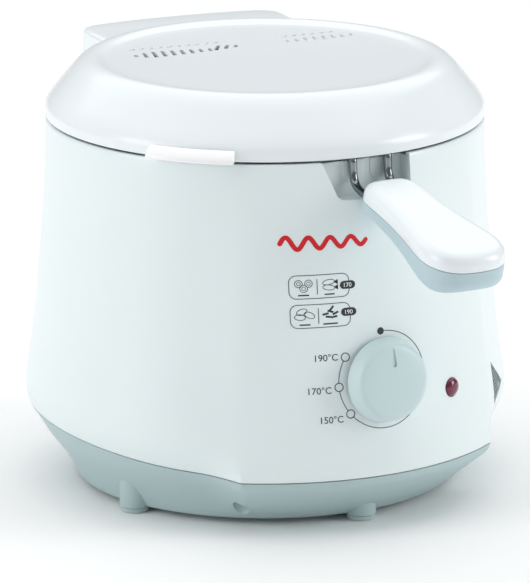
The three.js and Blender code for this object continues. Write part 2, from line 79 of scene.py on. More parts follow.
# The body's axis stands over the middle of the bowl; the lid is turned a little about it.
_low, _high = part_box("oil_bowl")
AXIS_Y = (_low.y + _high.y) / 2 / MM
_hinge = {joint["name"]: joint for joint in frame["joints"]}["lid_hinge"]
LID_TURN = math.atan2(-_hinge["axis"][1], -_hinge["axis"][0])
PIN_Y = (Vector((_hinge["pos_m"][0], _hinge["pos_m"][1])) / MM - Vector((0, AXIS_Y))).length
PIN_Z = _hinge["pos_m"][2] / MM
CASING_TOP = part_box("casing")[1].z / MM
FLANGE_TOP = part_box("oil_bowl")[1].z / MM
RIM_RADIUS = 118
CONE = 0.0943
VENT_ANGLE = 45
DIAL_Z = 83
PILOT_ANGLE = 19.7
PILOT_Z = 70.6
INLET_Z = 74
NOTCH_FLOOR = 179
FOOT_RADIUS = 103
WELL_RADIUS = 112
FOOT_ANGLES = (0, 72, 144, 216, 288)
WELL_ANGLES = (36, 108, 180, 252, 324)
LID_BOSS_RADIUS = 92
LID_BOSS_ANGLES = (20, 140, 260)
HANDLE_ROOT = 110
HANDLE_Z = 185
HANDLE_LEAN = math.radians(12)
WIRE_XS = (-10.5, 10.5)
GRIP_SCREWS = (42, 86)
BRACKET_SCREW_XS = (-15, 15)

TURNED = Matrix.Rotation(LID_TURN, 4, "Z")
KNOB_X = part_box("thermostat_shaft")
KNOB_X = (KNOB_X[0].x + KNOB_X[1].x) / 2 / MM
KNOB_PLACE = (Matrix.Translation((KNOB_X, -(RIM_RADIUS + (CASING_TOP + 0.2 - DIAL_Z) * CONE), DIAL_Z))
              @ Matrix.Rotation(math.pi / 2 - math.atan(CONE), 4, "X"))
HANDLE_PLACE = Matrix.Translation((0, -HANDLE_ROOT, HANDLE_Z)) @ Matrix.Rotation(HANDLE_LEAN, 4, "X")

SIDE_RADII = ((3.4, 103), (13.6, 107.8), (21, 113), (29.5, 119.5), (37, 124), (44, 128.4), (51, 130.05),
              (58, 129.7), (72, 127.6), (97, 124.4), (130, 121.5), (163, 119), (196, 118), (240, 118))
FRONT_BASE_RADII = ((3.4, 103), (25, 129.4), (27.5, 131.8), (32, 133.7))


# ---- settings ------------------------------------------------------------

def length(name, description, default):
    return FloatProperty(name=name, description=description, default=default * MM, unit="LENGTH",
                         subtype="DISTANCE")


def colour(name, description, default):
    return FloatVectorProperty(name=name, description=description, default=default, size=3,
                               subtype="COLOR_GAMMA", min=0, max=1)


class FryerShape(bpy.types.PropertyGroup):
    panel_half: FloatProperty(name="Panel half angle", description="Front to the panel's crease",
                              default=math.radians(35), subtype="ANGLE", unit="ROTATION")
    crease_blend: FloatProperty(name="Crease blend", description="Crease to the plain side",
                                default=math.radians(13), subtype="ANGLE", unit="ROTATION")
    seam_front: length("Front seam", "Height of the two-tone line across the panel", 32.0)
    seam_side: length("Side seam", "Height of the two-tone line along the sides", 44.0)
    seam_gap: length("Seam gap", "Width of the line between casing and base", 0.5)
    wall: length("Wall", "Thickness of the moulded walls", 2.5)
    knob_radius: length("Knob radius", "Radius of the dial knob's foot", 22.6)
    dial_radius: length("Dial radius", "Radius of the printed line round the knob", 25.7)
    rod_radius: length("Wire radius", "Radius of the two handle wires", 2.25)
    around: IntProperty(name="Steps round", description="Segments round the body", default=144, min=72)


class FryerColours(bpy.types.PropertyGroup):
    casing: colour("Casing", "Moulded casing", (0.905, 0.945, 0.948))
    lid: colour("Lid", "Moulded lid and handle top", (0.930, 0.955, 0.965))
    tab: colour("Lip", "Opening lip of the lid", (0.985, 0.985, 0.99))
    base: colour("Base", "Base pan", (0.70, 0.78, 0.785))
    handle: colour("Handle underside", "Lower shell of the handle", (0.72, 0.81, 0.835))
    knob: colour("Knob", "Dial knob", (0.79, 0.865, 0.87))
    print: colour("Printing", "Dial marks on the panel", (0.16, 0.19, 0.20))
    emblem: colour("Emblem", "Coloured mark on the panel", (0.84, 0.0, 0.10))
    pilot: colour("Pilot light", "Lens of the pilot light", (0.42, 0.03, 0.19))


class FryerStage(bpy.types.PropertyGroup):
    azimuth: FloatProperty(name="Azimuth", description="Camera direction from the front",
                           default=math.radians(29.6), subtype="ANGLE", unit="ROTATION")
    pitch: FloatProperty(name="Pitch", description="How far the camera looks down",
                         default=math.radians(15.061), subtype="ANGLE", unit="ROTATION")
    distance: length("Distance", "Camera to the body's axis, level", 2877.0)
    height: length("Height", "Camera above the floor", 874.2)
    lens: FloatProperty(name="Lens", description="Focal length", default=339.6, unit="CAMERA")
    key: FloatProperty(name="Key light", description="Power of the left softbox", default=20.0, unit="POWER")
    rim: FloatProperty(name="Side light", description="Power of the right softbox", default=27.0,
                       unit="POWER")
    top: FloatProperty(name="Top light", description="Power of the overhead softbox", default=90.0,
                       unit="POWER")
    fill: FloatProperty(name="Fill", description="Strength of the surroundings", default=0.29)


def shape():
    return bpy.context.scene.fryer_shape


def mm(value):
    return value / MM


# ---- materials -----------------------------------------------------------

def node_material(name, base, roughness, metallic=0.0, coat=0.0, specular=0.5):
    material = bpy.data.materials.new(name)
    material.use_nodes = True
    shader = material.node_tree.nodes["Principled BSDF"]
    shader.inputs["Base Color"].default_value = (*(linear(c) for c in base), 1)
    shader.inputs["Roughness"].default_value = roughness
    shader.inputs["Metallic"].default_value = metallic
    shader.inputs["Coat Weight"].default_value = coat
    shader.inputs["Coat Roughness"].default_value = 0.12
    shader.inputs["Specular IOR Level"].default_value = specular
    return material, shader


def linear(c):
    return c / 12.92 if c <= 0.04045 else ((c + 0.055) / 1.055) ** 2.4


def noise(material, scale, detail=2.0, stretch=(1, 1, 1)):
    nodes, links = material.node_tree.nodes, material.node_tree.links
    coordinates = nodes.new("ShaderNodeTexCoord")
    mapping = nodes.new("ShaderNodeMapping")
    mapping.inputs["Scale"].default_value = stretch
    texture = nodes.new("ShaderNodeTexNoise")
    texture.inputs["Scale"].default_value = scale
    texture.inputs["Detail"].default_value = detail
    links.new(coordinates.outputs["Object"], mapping.inputs["Vector"])
    links.new(mapping.outputs["Vector"], texture.inputs["Vector"])
    return texture.outputs["Fac"]


def spread(material, source, low, high):
    """Maps a texture's middle range onto low to high."""
    node = material.node_tree.nodes.new("ShaderNodeMapRange")
    node.inputs["From Min"].default_value, node.inputs["From Max"].default_value = 0.1, 0.9
    node.inputs["To Min"].default_value, node.inputs["To Max"].default_value = low, high
    material.node_tree.links.new(source, node.inputs["Value"])
    return node.outputs["Result"]


def tint(material, shader, source, base, amount):
    """Varies the colour a little between two shades of itself."""
    node = material.node_tree.nodes.new("ShaderNodeMix")
    node.data_type = "RGBA"
    node.inputs["A"].default_value = (*(linear(max(0, c - amount)) for c in base), 1)
    node.inputs["B"].default_value = (*(linear(min(1, c + amount)) for c in base), 1)
    material.node_tree.links.new(source, node.inputs["Factor"])
    material.node_tree.links.new(node.outputs["Result"], shader.inputs["Base Color"])


def bump(material, shader, source, strength, distance):
    node = material.node_tree.nodes.new("ShaderNodeBump")
    node.inputs["Strength"].default_value = strength
    node.inputs["Distance"].default_value = distance
    material.node_tree.links.new(source, node.inputs["Height"])
    material.node_tree.links.new(node.outputs["Normal"], shader.inputs["Normal"])


def moulded(name, base, roughness, grain=0.12, coat=0.0, grain_scale=2200, mottle=0.004):
    """Injection-moulded plastic: even colour, faint flow mottling and a fine eroded grain."""
    material, shader = node_material(name, base, roughness, coat=coat)
    tint(material, shader, noise(material, 14, 3), base, mottle)
    links = material.node_tree.links
    links.new(spread(material, noise(material, 28, 2), roughness - 0.01, roughness + 0.015),
              shader.inputs["Roughness"])
    bump(material, shader, noise(material, grain_scale, 3), grain, 0.00004)
    return material


def drawn_metal(name, base, roughness, stretch=(1, 1, 1), scale=400, depth=0.15, streak=0.05):
    """Metal with fine working marks, stretched along the direction it was worked."""
    material, shader = node_material(name, base, roughness, metallic=1.0)
    marks = noise(material, scale, 4, stretch)
    tint(material, shader, marks, base, 0.02)
    material.node_tree.links.new(spread(material, marks, roughness, roughness + streak),
                                 shader.inputs["Roughness"])
    bump(material, shader, marks, depth, 0.00003)
    return material


def speckled(name, base, roughness, scale, depth, distance, amount):
    """Rubber, coating or fibre: a matt ground with visible speckle."""
    material, shader = node_material(name, base, roughness)
    grains = noise(material, scale, 6)
    tint(material, shader, grains, base, amount)
    material.node_tree.links.new(spread(material, grains, roughness - 0.06, roughness + 0.05),
                                 shader.inputs["Roughness"])
    bump(material, shader, grains, depth, distance)
    return material


def lens_material(name, base):
    material, shader = node_material(name, base, 0.12, coat=0.6)
    rings = noise(material, 900, 1)
    tint(material, shader, rings, base, 0.05)
    bump(material, shader, rings, 0.2, 0.0001)
    shader.inputs["Subsurface Weight"].default_value = 0.15
    shader.inputs["Subsurface Radius"].default_value = (0.002, 0.0004, 0.0004)
    return material


def make_materials():
    c = bpy.context.scene.fryer_colours
    made = {
        "white_body": moulded("casing plastic", c.casing, 0.3, coat=0.12),
        "white_lid": moulded("lid plastic", c.lid, 0.26, coat=0.2),
        "white_tab": moulded("lip plastic", c.tab, 0.24, coat=0.25),
        "grey_base": moulded("base plastic", c.base, 0.4, grain=0.2, mottle=0.008),
        "grey_handle": moulded("handle underside plastic", c.handle, 0.36, grain=0.16),
        "knob_plastic": moulded("knob plastic", c.knob, 0.36, grain=0.16),
        "dark_plastic": moulded("dark plastic", (0.13, 0.14, 0.15), 0.5, grain=0.3, mottle=0.01),
        "foot_rubber": speckled("foot rubber", (0.74, 0.81, 0.815), 0.62, 1400, 0.25, 0.00006, 0.012),
        "gasket_rubber": speckled("gasket silicone", (0.74, 0.78, 0.79), 0.55, 700, 0.2, 0.00006, 0.015),
        "chrome_wire": drawn_metal("chromed wire", (0.56, 0.59, 0.60), 0.09, (1, 1, 1), 300, 0.04, 0.03),
        "zinc_steel": drawn_metal("zinc plated steel", (0.70, 0.72, 0.73), 0.3, (1, 1, 6), 900),
        "bowl_coating": speckled("non-stick coating", (0.17, 0.18, 0.19), 0.42, 2600, 0.3, 0.00005, 0.03),
        "element_steel": drawn_metal("oxidised steel", (0.36, 0.35, 0.35), 0.45, (1, 1, 1), 260, 0.3, 0.12),
        "sheet_aluminium": drawn_metal("rolled aluminium", (0.80, 0.82, 0.83), 0.3, (1, 18, 1), 260),
        "copper": drawn_metal("drawn copper", (0.78, 0.48, 0.32), 0.28, (1, 1, 8), 500),
        "cream_plastic": moulded("cream plastic", (0.88, 0.85, 0.78), 0.5, grain=0.25),
        "live_lead": moulded("brown lead", (0.40, 0.23, 0.14), 0.5),
        "neutral_lead": moulded("blue lead", (0.16, 0.34, 0.55), 0.5),
        "earth_lead": moulded("green lead", (0.36, 0.55, 0.24), 0.5),
        "pilot_red": lens_material("pilot lens", c.pilot),
        "lamp_glass": lens_material("lamp glass", (0.9, 0.82, 0.72)),
        "filter_fibre": speckled("filter fibre", (0.10, 0.105, 0.11), 0.95, 900, 1.0, 0.0006, 0.06),
        "vent_grey": moulded("vent bars", (0.58, 0.65, 0.65), 0.45, grain=0.2),
        "ink": moulded("printing ink", c.print, 0.5, grain=0.1, mottle=0.02),
        "emblem_ink": moulded("emblem ink", c.emblem, 0.42, grain=0.1, mottle=0.02),
    }
    frame["looks"] = made
    return made


# ---- modelling helpers ---------------------------------------------------

def finish_piece(name, bm, body, look, replaces=(), place=Matrix(), sharp=28, tidy=True):
    """Turns a bmesh in millimetres about the body's axis into a piece in metres, riding on a body."""
    if tidy:
        bmesh.ops.remove_doubles(bm, verts=bm.verts, dist=0.002)
        bmesh.ops.recalc_face_normals(bm, faces=bm.faces)
    bm.transform(Matrix.Scale(MM, 4) @ Matrix.Translation((0, AXIS_Y, 0)) @ place)
    for face in bm.faces:
        face.smooth = True
    for edge in bm.edges:
        edge.smooth = len(edge.link_faces) != 2 or edge.calc_face_angle(0) < math.radians(sharp)
    mesh = bpy.data.meshes.new(name)
    bm.to_mesh(mesh)
    bm.free()
    piece = bpy.data.objects.new(name, mesh)
    piece.data.materials.append(frame["looks"][look])
    bpy.context.scene.collection.objects.link(piece)
    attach(piece, body)
    if replaces:
        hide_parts(*replaces)
    return piece


def spun(profile, steps=96):
    """A closed turned shape from (radius, height) points; the ends on the axis make its poles."""
    bm = bmesh.new()
    verts = [bm.verts.new((r, 0, z)) for r, z in profile]
    pairs = list(zip(verts, verts[1:]))
    if profile[0][0] > 0:
        pairs.append((verts[-1], verts[0]))
    edges = [bm.edges.new(pair) for pair in pairs]
    bmesh.ops.spin(bm, geom=verts + edges, cent=(0, 0, 0), axis=(0, 0, 1), angle=2 * math.pi,
                   steps=steps, use_merge=True)
    bmesh.ops.remove_doubles(bm, verts=bm.verts, dist=0.002)
    bmesh.ops.recalc_face_normals(bm, faces=bm.faces)
    return bm


def slab(outline, depth, bottom=0.0):
    """A prism over an outline of (x, y) points, from bottom upwards."""
    bm = bmesh.new()
    face = bm.faces.new([bm.verts.new((x, y, bottom)) for x, y in outline])
    grown = bmesh.ops.extrude_face_region(bm, geom=[face])
    bmesh.ops.translate(bm, vec=(0, 0, depth), verts=[g for g in grown["geom"]
                                                     if isinstance(g, bmesh.types.BMVert)])
    bmesh.ops.recalc_face_normals(bm, faces=bm.faces)
    return bm


def rounded(bm, edges, radius, segments=4):
    bmesh.ops.bevel(bm, geom=edges, offset=radius, offset_type="OFFSET", affect="EDGES", segments=segments,
                    profile=0.5, material=-1, clamp_overlap=True)


def edges_at(bm, height, tolerance=0.01):
    return [e for e in bm.edges if all(abs(v.co.z - height) < tolerance for v in e.verts)]


def brick(x0, x1, y0, y1, z0, z1):
    bm = bmesh.new()
    bmesh.ops.create_cube(bm, size=1, matrix=Matrix.Translation(((x0 + x1) / 2, (y0 + y1) / 2, (z0 + z1) / 2))
                          @ Matrix.Diagonal((x1 - x0, y1 - y0, z1 - z0, 1)))
    return bm


def peg(radius, z0, z1, steps=32, place=Matrix()):
    bm = bmesh.new()
    bmesh.ops.create_cone(bm, cap_ends=True, segments=steps, radius1=radius, radius2=radius, depth=z1 - z0,
                          matrix=place @ Matrix.Translation((0, 0, (z0 + z1) / 2)))
    return bm


def joined(*parts):
    """Several bmeshes as one, each left as its own closed shell."""
    whole = parts[0]
    for part in parts[1:]:
        holder = bpy.data.meshes.new("part")
        part.to_mesh(holder)
        part.free()
        whole.from_mesh(holder)
        bpy.data.meshes.remove(holder)
    return whole


def carved(bm, *cutters, mode="DIFFERENCE"):
    """The bmesh with each cutter taken away (or joined on) by a Boolean modifier."""
    def as_object(source):
        mesh = bpy.data.meshes.new("carving")
        source.to_mesh(mesh)
        source.free()
        made = bpy.data.objects.new("carving", mesh)
        bpy.context.scene.collection.objects.link(made)
        return made

    target = as_object(bm)
    tools = [as_object(cutter) for cutter in cutters]
    for tool in tools:
        modifier = target.modifiers.new("carve", "BOOLEAN")
        modifier.operation, modifier.solver, modifier.object = mode, "EXACT", tool
    result = bpy.data.meshes.new_from_object(target.evaluated_get(bpy.context.evaluated_depsgraph_get()))
    made = bmesh.new()
    made.from_mesh(result)
    for thing in (target, *tools):
        old = thing.data
        bpy.data.objects.remove(thing)
        bpy.data.meshes.remove(old)
    bpy.data.meshes.remove(result)
    if not made.faces:
        raise RuntimeError("a carved piece came out empty")
    return made


def around(radius, degrees):
    a = math.radians(degrees)
    return radius * math.sin(a), -radius * math.cos(a)


def sweep(points, radius):
    """A round wire along a smooth path, closed at both ends."""
    curve = bpy.data.curves.new("path", "CURVE")
    curve.dimensions = "3D"
    curve.bevel_depth, curve.bevel_resolution = radius, 4
    curve.use_fill_caps = True
    spline = curve.splines.new("NURBS")
    spline.points.add(len(points) - 1)
    for point, (x, y, z) in zip(spline.points, points):
        point.co = (x, y, z, 1)
    spline.order_u, spline.use_endpoint_u, spline.resolution_u = 4, True, 6
    holder = bpy.data.objects.new("path", curve)
    bpy.context.scene.collection.objects.link(holder)
    mesh = bpy.data.meshes.new_from_object(holder.evaluated_get(bpy.context.evaluated_depsgraph_get()))
    bm = bmesh.new()
    bm.from_mesh(mesh)
    bpy.data.objects.remove(holder)
    bpy.data.curves.remove(curve)
    bpy.data.meshes.remove(mesh)
    bmesh.ops.remove_doubles(bm, verts=bm.verts, dist=0.002)
    bmesh.ops.recalc_face_normals(bm, faces=bm.faces)
    return bm


def refined(node, radius=0.4, segments=2):
    """A merged copy of a frame node in millimetres about the body's axis, its edges softened."""
    bm = bmesh.new()
    bm.from_mesh(frame["nodes"][node].data)
    bm.transform(Matrix.Translation((0, -AXIS_Y, 0)) @ Matrix.Scale(1 / MM, 4))
    bmesh.ops.remove_doubles(bm, verts=bm.verts, dist=0.01)
    bmesh.ops.dissolve_limit(bm, angle_limit=math.radians(2), verts=bm.verts, edges=bm.edges)
    rounded(bm, [e for e in bm.edges if e.calc_face_angle(0) > math.radians(40)], radius, segments)
    return bm


# ---- the body's skin -----------------------------------------------------

def smooth_lookup(table, z):
    """Catmull-Rom through a table of (height, radius)."""
    i = next((k for k, (at, _) in enumerate(table) if at >= z), len(table) - 1)
    i = max(1, i)
    (z0, r0), (z1, r1) = table[i - 1], table[i]
    before, after = table[max(0, i - 2)], table[min(len(table) - 1, i + 1)]
    slope0 = (r1 - before[1]) / (z1 - before[0])
    slope1 = (after[1] - r0) / (after[0] - z0)
    t = (z - z0) / (z1 - z0)
    span = z1 - z0
    return ((2 * t ** 3 - 3 * t * t + 1) * r0 + (t ** 3 - 2 * t * t + t) * span * slope0
            + (3 * t * t - 2 * t ** 3) * r1 + (t ** 3 - t * t) * span * slope1)


def front_degrees(x, y):
    return math.degrees(abs(math.atan2(x, -y)))


def panel_radius(z):
    return RIM_RADIUS + (CASING_TOP + 0.2 - z) * CONE


def skin(degrees, z):
    front = panel_radius(z) if z >= mm(shape().seam_front) else smooth_lookup(FRONT_BASE_RADII, z)
    side = smooth_lookup(SIDE_RADII, z)
    beyond = (degrees - math.degrees(shape().panel_half)) / math.degrees(shape().crease_blend)
    return side + (front - side) * (1 - min(1, max(0, beyond))) ** 2


def seam(degrees):
    t = min(1, max(0, (degrees - math.degrees(shape().panel_half)) / 75))
    low, high = mm(shape().seam_front), mm(shape().seam_side)
    return low + (high - low) * t * t * (3 - 2 * t)


def wrap_to_skin(bm, level, anchor):
    """Carries a shape turned to the rear's profile onto the real skin, which changes with the angle.

    level maps (height at the rear, seam here) to the height here; anchor gives how firmly a radius
    follows the skin."""
    for vert in bm.verts:
        x, y, z = vert.co
        radius = math.hypot(x, y)
        degrees = front_degrees(x, y)
        here = level(z, seam(degrees))
        moved = radius + (skin(degrees, here) - skin(180, z)) * anchor(radius)
        if radius > 0.01:
            vert.co = (x * moved / radius, y * moved / radius, here)
        else:
            vert.co.z = here


# ---- operators: one for each piece or group of pieces ---------------------

class FRYER_OT_casing(bpy.types.Operator):
    """Build the white casing with its panel, notch, pocket and holes"""
    bl_idname = "fryer.casing"
    bl_label = "Casing"

    def execute(self, context):
        rear, wall = mm(shape().seam_side), mm(shape().wall)
        low = rear + mm(shape().seam_gap) - 0.4
        levels = [low + 0.35, 45.5, 48, 51, 54, 57, 60, 64, 69, 75, 83, 92, 102, 114, 128, 144, 160, 176,
                  190, 197.6]
        skin_line = [(smooth_lookup(SIDE_RADII, z), z) for z in levels]
        bm = spun([(skin_line[0][0] - 0.35, low), *skin_line, (117.85, 198.6), (117.5, 199.1),
                   (117, CASING_TOP), (114.9, CASING_TOP), (114.3, 199), (114.1, 198.3), (113.6, 192.5),
                   (99.9, 192.5), (99.5, 192.1), (99.5, 190), (115.5, 190),
                   *[(smooth_lookup(SIDE_RADII, z) - wall, z) for z in (188, 160, 128, 92, 60, 52, low)]],
                  shape().around)
        wrap_to_skin(bm, lambda z, line: line + (z - rear) * (60 - line) / (60 - rear) if z < 60 else z,
                     lambda radius: min(1, max(0, (radius - 100) / 12)))
        along_y = Matrix.Rotation(math.pi / 2, 4, "X")
        pilot = Matrix.Rotation(math.radians(PILOT_ANGLE), 4, "Z")
        lens = peg(5.25, 110, 150, 40, pilot @ Matrix.Translation((0, 0, PILOT_Z)) @ along_y)
        shaft = peg(5, 100, 150, 24, Matrix.Translation((KNOB_X, 0, DIAL_Z)) @ along_y)
        inlet = peg(7.3, -150, -110, 32, Matrix.Translation((0, 0, INLET_Z)) @ along_y)
        posts = [peg(4.4, 44 if 90 < a < 270 else 33, 58, 16, Matrix.Translation(
            (*around(WELL_RADIUS, a), 0))) for a in WELL_ANGLES]
        webs = []
        for a in WELL_ANGLES:
            web = brick(-3, 3, -128.8, -112, 49, 58)
            bmesh.ops.rotate(web, cent=(0, 0, 0), matrix=Matrix.Rotation(math.radians(a), 3, "Z"),
                             verts=web.verts)
            webs.append(web)
        body = carved(bm, joined(notch_cutter(), lens, shaft, inlet, vent_cutter(0)))
        finish_piece("casing_shell", body, "body", "white_body", ["casing"], tidy=False)
        finish_piece("casing_posts", joined(*posts, *webs), "body", "white_body")
        finish_piece("handle_pocket", pocket(), "body", "white_body", tidy=False, sharp=35)
        return {"FINISHED"}


def notch_cutter():
    across = slab([(-32.4, 203), (-22.4, NOTCH_FLOOR), (20.5, NOTCH_FLOOR), (20.5, 203)], 40, 106.5)
    bmesh.ops.rotate(across, cent=(0, 0, 0), matrix=Matrix.Rotation(math.pi / 2, 3, "X"), verts=across.verts)
    rounded(across, [e for e in across.edges if abs(e.verts[0].co.x - e.verts[1].co.x) < 1e-3
                     and all(abs(v.co.z - NOTCH_FLOOR) < 0.01 for v in e.verts)], 3.4, 5)
    return across


def pocket():
    """The moulded pocket behind the notch: a back wall with two raised arches, and a sloping ledge."""
    block = brick(-34.4, 22.6, -117.4, -106.2, 177.6, 197.4)
    hollow = slab([(-36, 205), (-32.5, 201.5), (-22.8, 178.8), (20.3, 178.8), (20.3, 205)], 30, 107.5)
    bmesh.ops.rotate(hollow, cent=(0, 0, 0), matrix=Matrix.Rotation(math.pi / 2, 3, "X"), verts=hollow.verts)
    wedge = slab([(-122, 170), (-117.9, 179.4), (-107.4, 185), (-106, 170)], 60, -35)
    wedge.transform(Matrix(((0, 0, 1, 0), (1, 0, 0, 0), (0, 1, 0, 0), (0, 0, 0, 1))))
    bmesh.ops.recalc_face_normals(wedge, faces=wedge.faces)
    body = carved(block, carved(hollow, wedge))
    body = carved(body, peg(117.6, 170, 205, 144), mode="INTERSECT")
    arches = []
    for x in (-8.2, 8.2):
        arch = brick(x - 6.6, x + 6.6, -108.1, -107.3, 185.4, 197.2)
        rounded(arch, [e for e in arch.edges if abs(e.verts[0].co.y - e.verts[1].co.y) > 0.5
                       and e.verts[0].co.z < 186], 5.5, 8)
        rounded(arch, [e for e in arch.edges if all(v.co.y < -108 for v in e.verts)], 0.35, 2)
        arches.append(arch)
    return joined(body, *arches)


def vent_cutter(shrink):
    corners = [(-10 + shrink, 73 - 1.6 * shrink), (-10 + shrink, 49 + 1.6 * shrink), (11 - 2.4 * shrink, 57)]
    bm = slab(corners, 45, 100)
    bmesh.ops.rotate(bm, cent=(0, 0, 0), matrix=Matrix.Rotation(math.pi / 2, 3, "X"), verts=bm.verts)
    bmesh.ops.rotate(bm, cent=(0, 0, 0), matrix=Matrix.Rotation(math.radians(VENT_ANGLE), 3, "Z"),
                     verts=bm.verts)
    return bm


class FRYER_OT_base(bpy.types.Operator):
    """Build the grey base pan with its feet and screw wells"""
    bl_idname = "fryer.base"
    bl_label = "Base"

    def execute(self, context):
        rear, wall = mm(shape().seam_side), mm(shape().wall)
        top = rear - 0.4
        levels = [4.2, 6, 9, 13, 18, 23, 27, 30, 33, 35, 38, 40.5, 42.2, top - 0.3]
        bm = spun([(0, 3.4), (101.6, 3.4), (102.7, 3.6), *[(smooth_lookup(SIDE_RADII, z), z) for z in levels],
                   (smooth_lookup(SIDE_RADII, top) - 0.35, top), (124.2, top), (126, rear + 4),
                   (123.6, rear + 4), (121, top - 4), (112, 26), (104, 12), (97, 6), (0, 6)],
                  shape().around)
        wrap_to_skin(bm, lambda z, line: 3.4 + (z - 3.4) * (line - 3.8) / (rear - 3.8) if z > 3.4 else z,
                     lambda radius: min(1, radius / 101.0) ** 8)
        posts, bosses, wells = [], [], []
        for foot, screw in zip(FOOT_ANGLES, WELL_ANGLES):
            posts.append(peg(8, 3, 19, 48, Matrix.Translation((*around(FOOT_RADIUS, foot), 0))))
            well = Matrix.Translation((*around(WELL_RADIUS, screw), 0))
            bosses.append(peg(7, 4.4, 31, 40, well))
            wells.append(peg(4.5, -1, 26, 40, well))
        slots = [brick(12 * i - 1.8, 12 * i + 1.8, -28, 28, 0, 12) for i in range(-2, 3)]
        clipped = carved(joined(*bosses), skin_plug(1.0), mode="INTERSECT")
        body = carved(bm, joined(*posts), clipped, mode="UNION")
        body = carved(body, joined(*wells, *slots))
        finish_piece("base_shell", body, "body", "grey_base", ["base_pan"], tidy=False, sharp=32)
        for i, (foot, screw) in enumerate(zip(FOOT_ANGLES, WELL_ANGLES)):
            pad = spun([(0, 0), (6.6, 0), (7.2, 0.25), (7.6, 0.9), (7.7, 1.7), (7.45, 1.85), (7.45, 2.15),
                        (7.7, 2.3), (7.7, 2.7), (2.6, 2.75), (2.6, 8.5), (0, 8.5)], 48)
            finish_piece(f"foot_{i + 1}", pad, "body", "foot_rubber", [f"foot_pad_{i + 1}"],
                         Matrix.Translation((*around(FOOT_RADIUS, foot), 0)))
            finish_piece(f"screw_{i + 1}", cross_screw(3.6, 23, 25.7, 1.6, 50), "body", "zinc_steel",
                         [f"base_screw_{i + 1}"], Matrix.Translation((*around(WELL_RADIUS, screw), 0)))
        return {"FINISHED"}


def skin_plug(inset):
    """A solid a little inside the base's skin, to clip what is inside it."""
    levels = (4.2, 9, 13, 18, 23, 27, 30, 33)
    plug = spun([(0, 4.2), *[(smooth_lookup(SIDE_RADII, z) - inset, z) for z in levels], (0, 33)], 144)
    wrap_to_skin(plug, lambda z, line: z, lambda radius: min(1, radius / 101) ** 8)
    return plug


def cross_screw(head, z0, z1, shank, top):
    """A pan-head screw seen from its head at z0, with a cross recess."""
    depth = abs(z1 - z0)
    toward = 1 if z1 > z0 else -1
    bm = spun([(0, z0), (head * 0.55, z0 + 0.08 * toward * depth), (head * 0.86, z0 + 0.3 * toward * depth),
               (head, z0 + 0.62 * toward * depth), (head, z1), (shank, z1), (shank, top), (0, top)], 28)
    bars = [brick(-head * 0.62, head * 0.62, -0.4, 0.4, z0 - 1, z0 + 1.2),
            brick(-0.4, 0.4, -head * 0.62, head * 0.62, z0 - 1, z0 + 1.2)]
    return carved(bm, *bars)


class FRYER_OT_lid(bpy.types.Operator):
    """Build the lid shell with its vents, the lip, the liner and the gasket"""
    bl_idname = "fryer.lid"
    bl_label = "Lid"

    def execute(self, context):
        outside = [(115.9, 200.5), (117.2, 200.5), (117.8, 200.8), (118, 201.5), (118, 205), (117.75, 206.6),
                   (116.9, 208.2), (115, 210.9), (112, 214.7), (108, 219.5), (104.9, 223.2), (102.6, 225.9),
                   (100.4, 228), (97.8, 229.8), (95, 230.9), (92, 231.35), (89.6, 231.1), (87.8, 230.4),
                   (86.3, 229.8), (84, 229.5), (76, 229.35), (60, 229.2), (40, 229), (20, 228.85), (0, 228.8)]
        inside = [(0, 226.6), (60, 226.9), (86, 227.3), (92, 228.6), (97.4, 226.8), (109.8, 213.2),
                  (115.5, 205.6), (115.5, 200.9)]
        bm = spun([*inside, *outside], 160)
        shell = carved(bm, vent_slots())
        finish_piece("lid_top", shell, "lid", "white_lid", ["lid_shell"], TURNED, tidy=False, sharp=35)
        bosses = [peg(3.6, 204.7, 228.2, 24, Matrix.Translation((*around(LID_BOSS_RADIUS, a), 0)))
                  for a in LID_BOSS_ANGLES]
        finish_piece("lid_bosses", joined(*bosses), "lid", "white_lid", place=TURNED)
        liner = spun([(0, 203), (40, 203), (41, 203.7), (88, 203.7), (89, 203), (108.3, 203), (112.4, 200.7),
                      (112.8, 200.5), (113.3, 200.5), (113.5, 200.8), (113.5, 203), (109, 204.3), (0, 204.3)],
                     96)
        finish_piece("liner_sheet", carved(liner, wire_relief()), "lid", "sheet_aluminium", ["lid_liner"],
                     TURNED, tidy=False)
        gasket = spun([(101.5, 195), (101.7, 194.6), (102.2, 194.4), (103, 194.5), (103.8, 195.2),
                       (104.6, 194.5), (105.4, 194.4), (105.8, 194.6), (106, 195), (106, 202.6),
                       (101.5, 202.6)], 96)
        finish_piece("gasket_ring", carved(gasket, wire_relief()), "lid", "gasket_rubber", ["lid_gasket"],
                     TURNED, tidy=False)
        finish_piece("opening_lip", lip(), "lid", "white_tab", ["lid_tab"], TURNED, sharp=45)
        for i, a in enumerate(LID_BOSS_ANGLES):
            place = TURNED @ Matrix.Translation((*around(LID_BOSS_RADIUS, a), 0))
            finish_piece(f"liner_screw_{i + 1}", cross_screw(3.2, 200.9, 202.7, 1.4, 216), "lid",
                         "zinc_steel", [f"lid_screw_{i + 1}"], place)
        return {"FINISHED"}


def wire_relief():
    """The room that the liner and the gasket leave for the handle's wires."""
    relief = brick(-15, 15, -120, -90, 190, 202.9)
    bmesh.ops.rotate(relief, cent=(0, 0, 0), matrix=Matrix.Rotation(-LID_TURN, 3, "Z"), verts=relief.verts)
    return relief


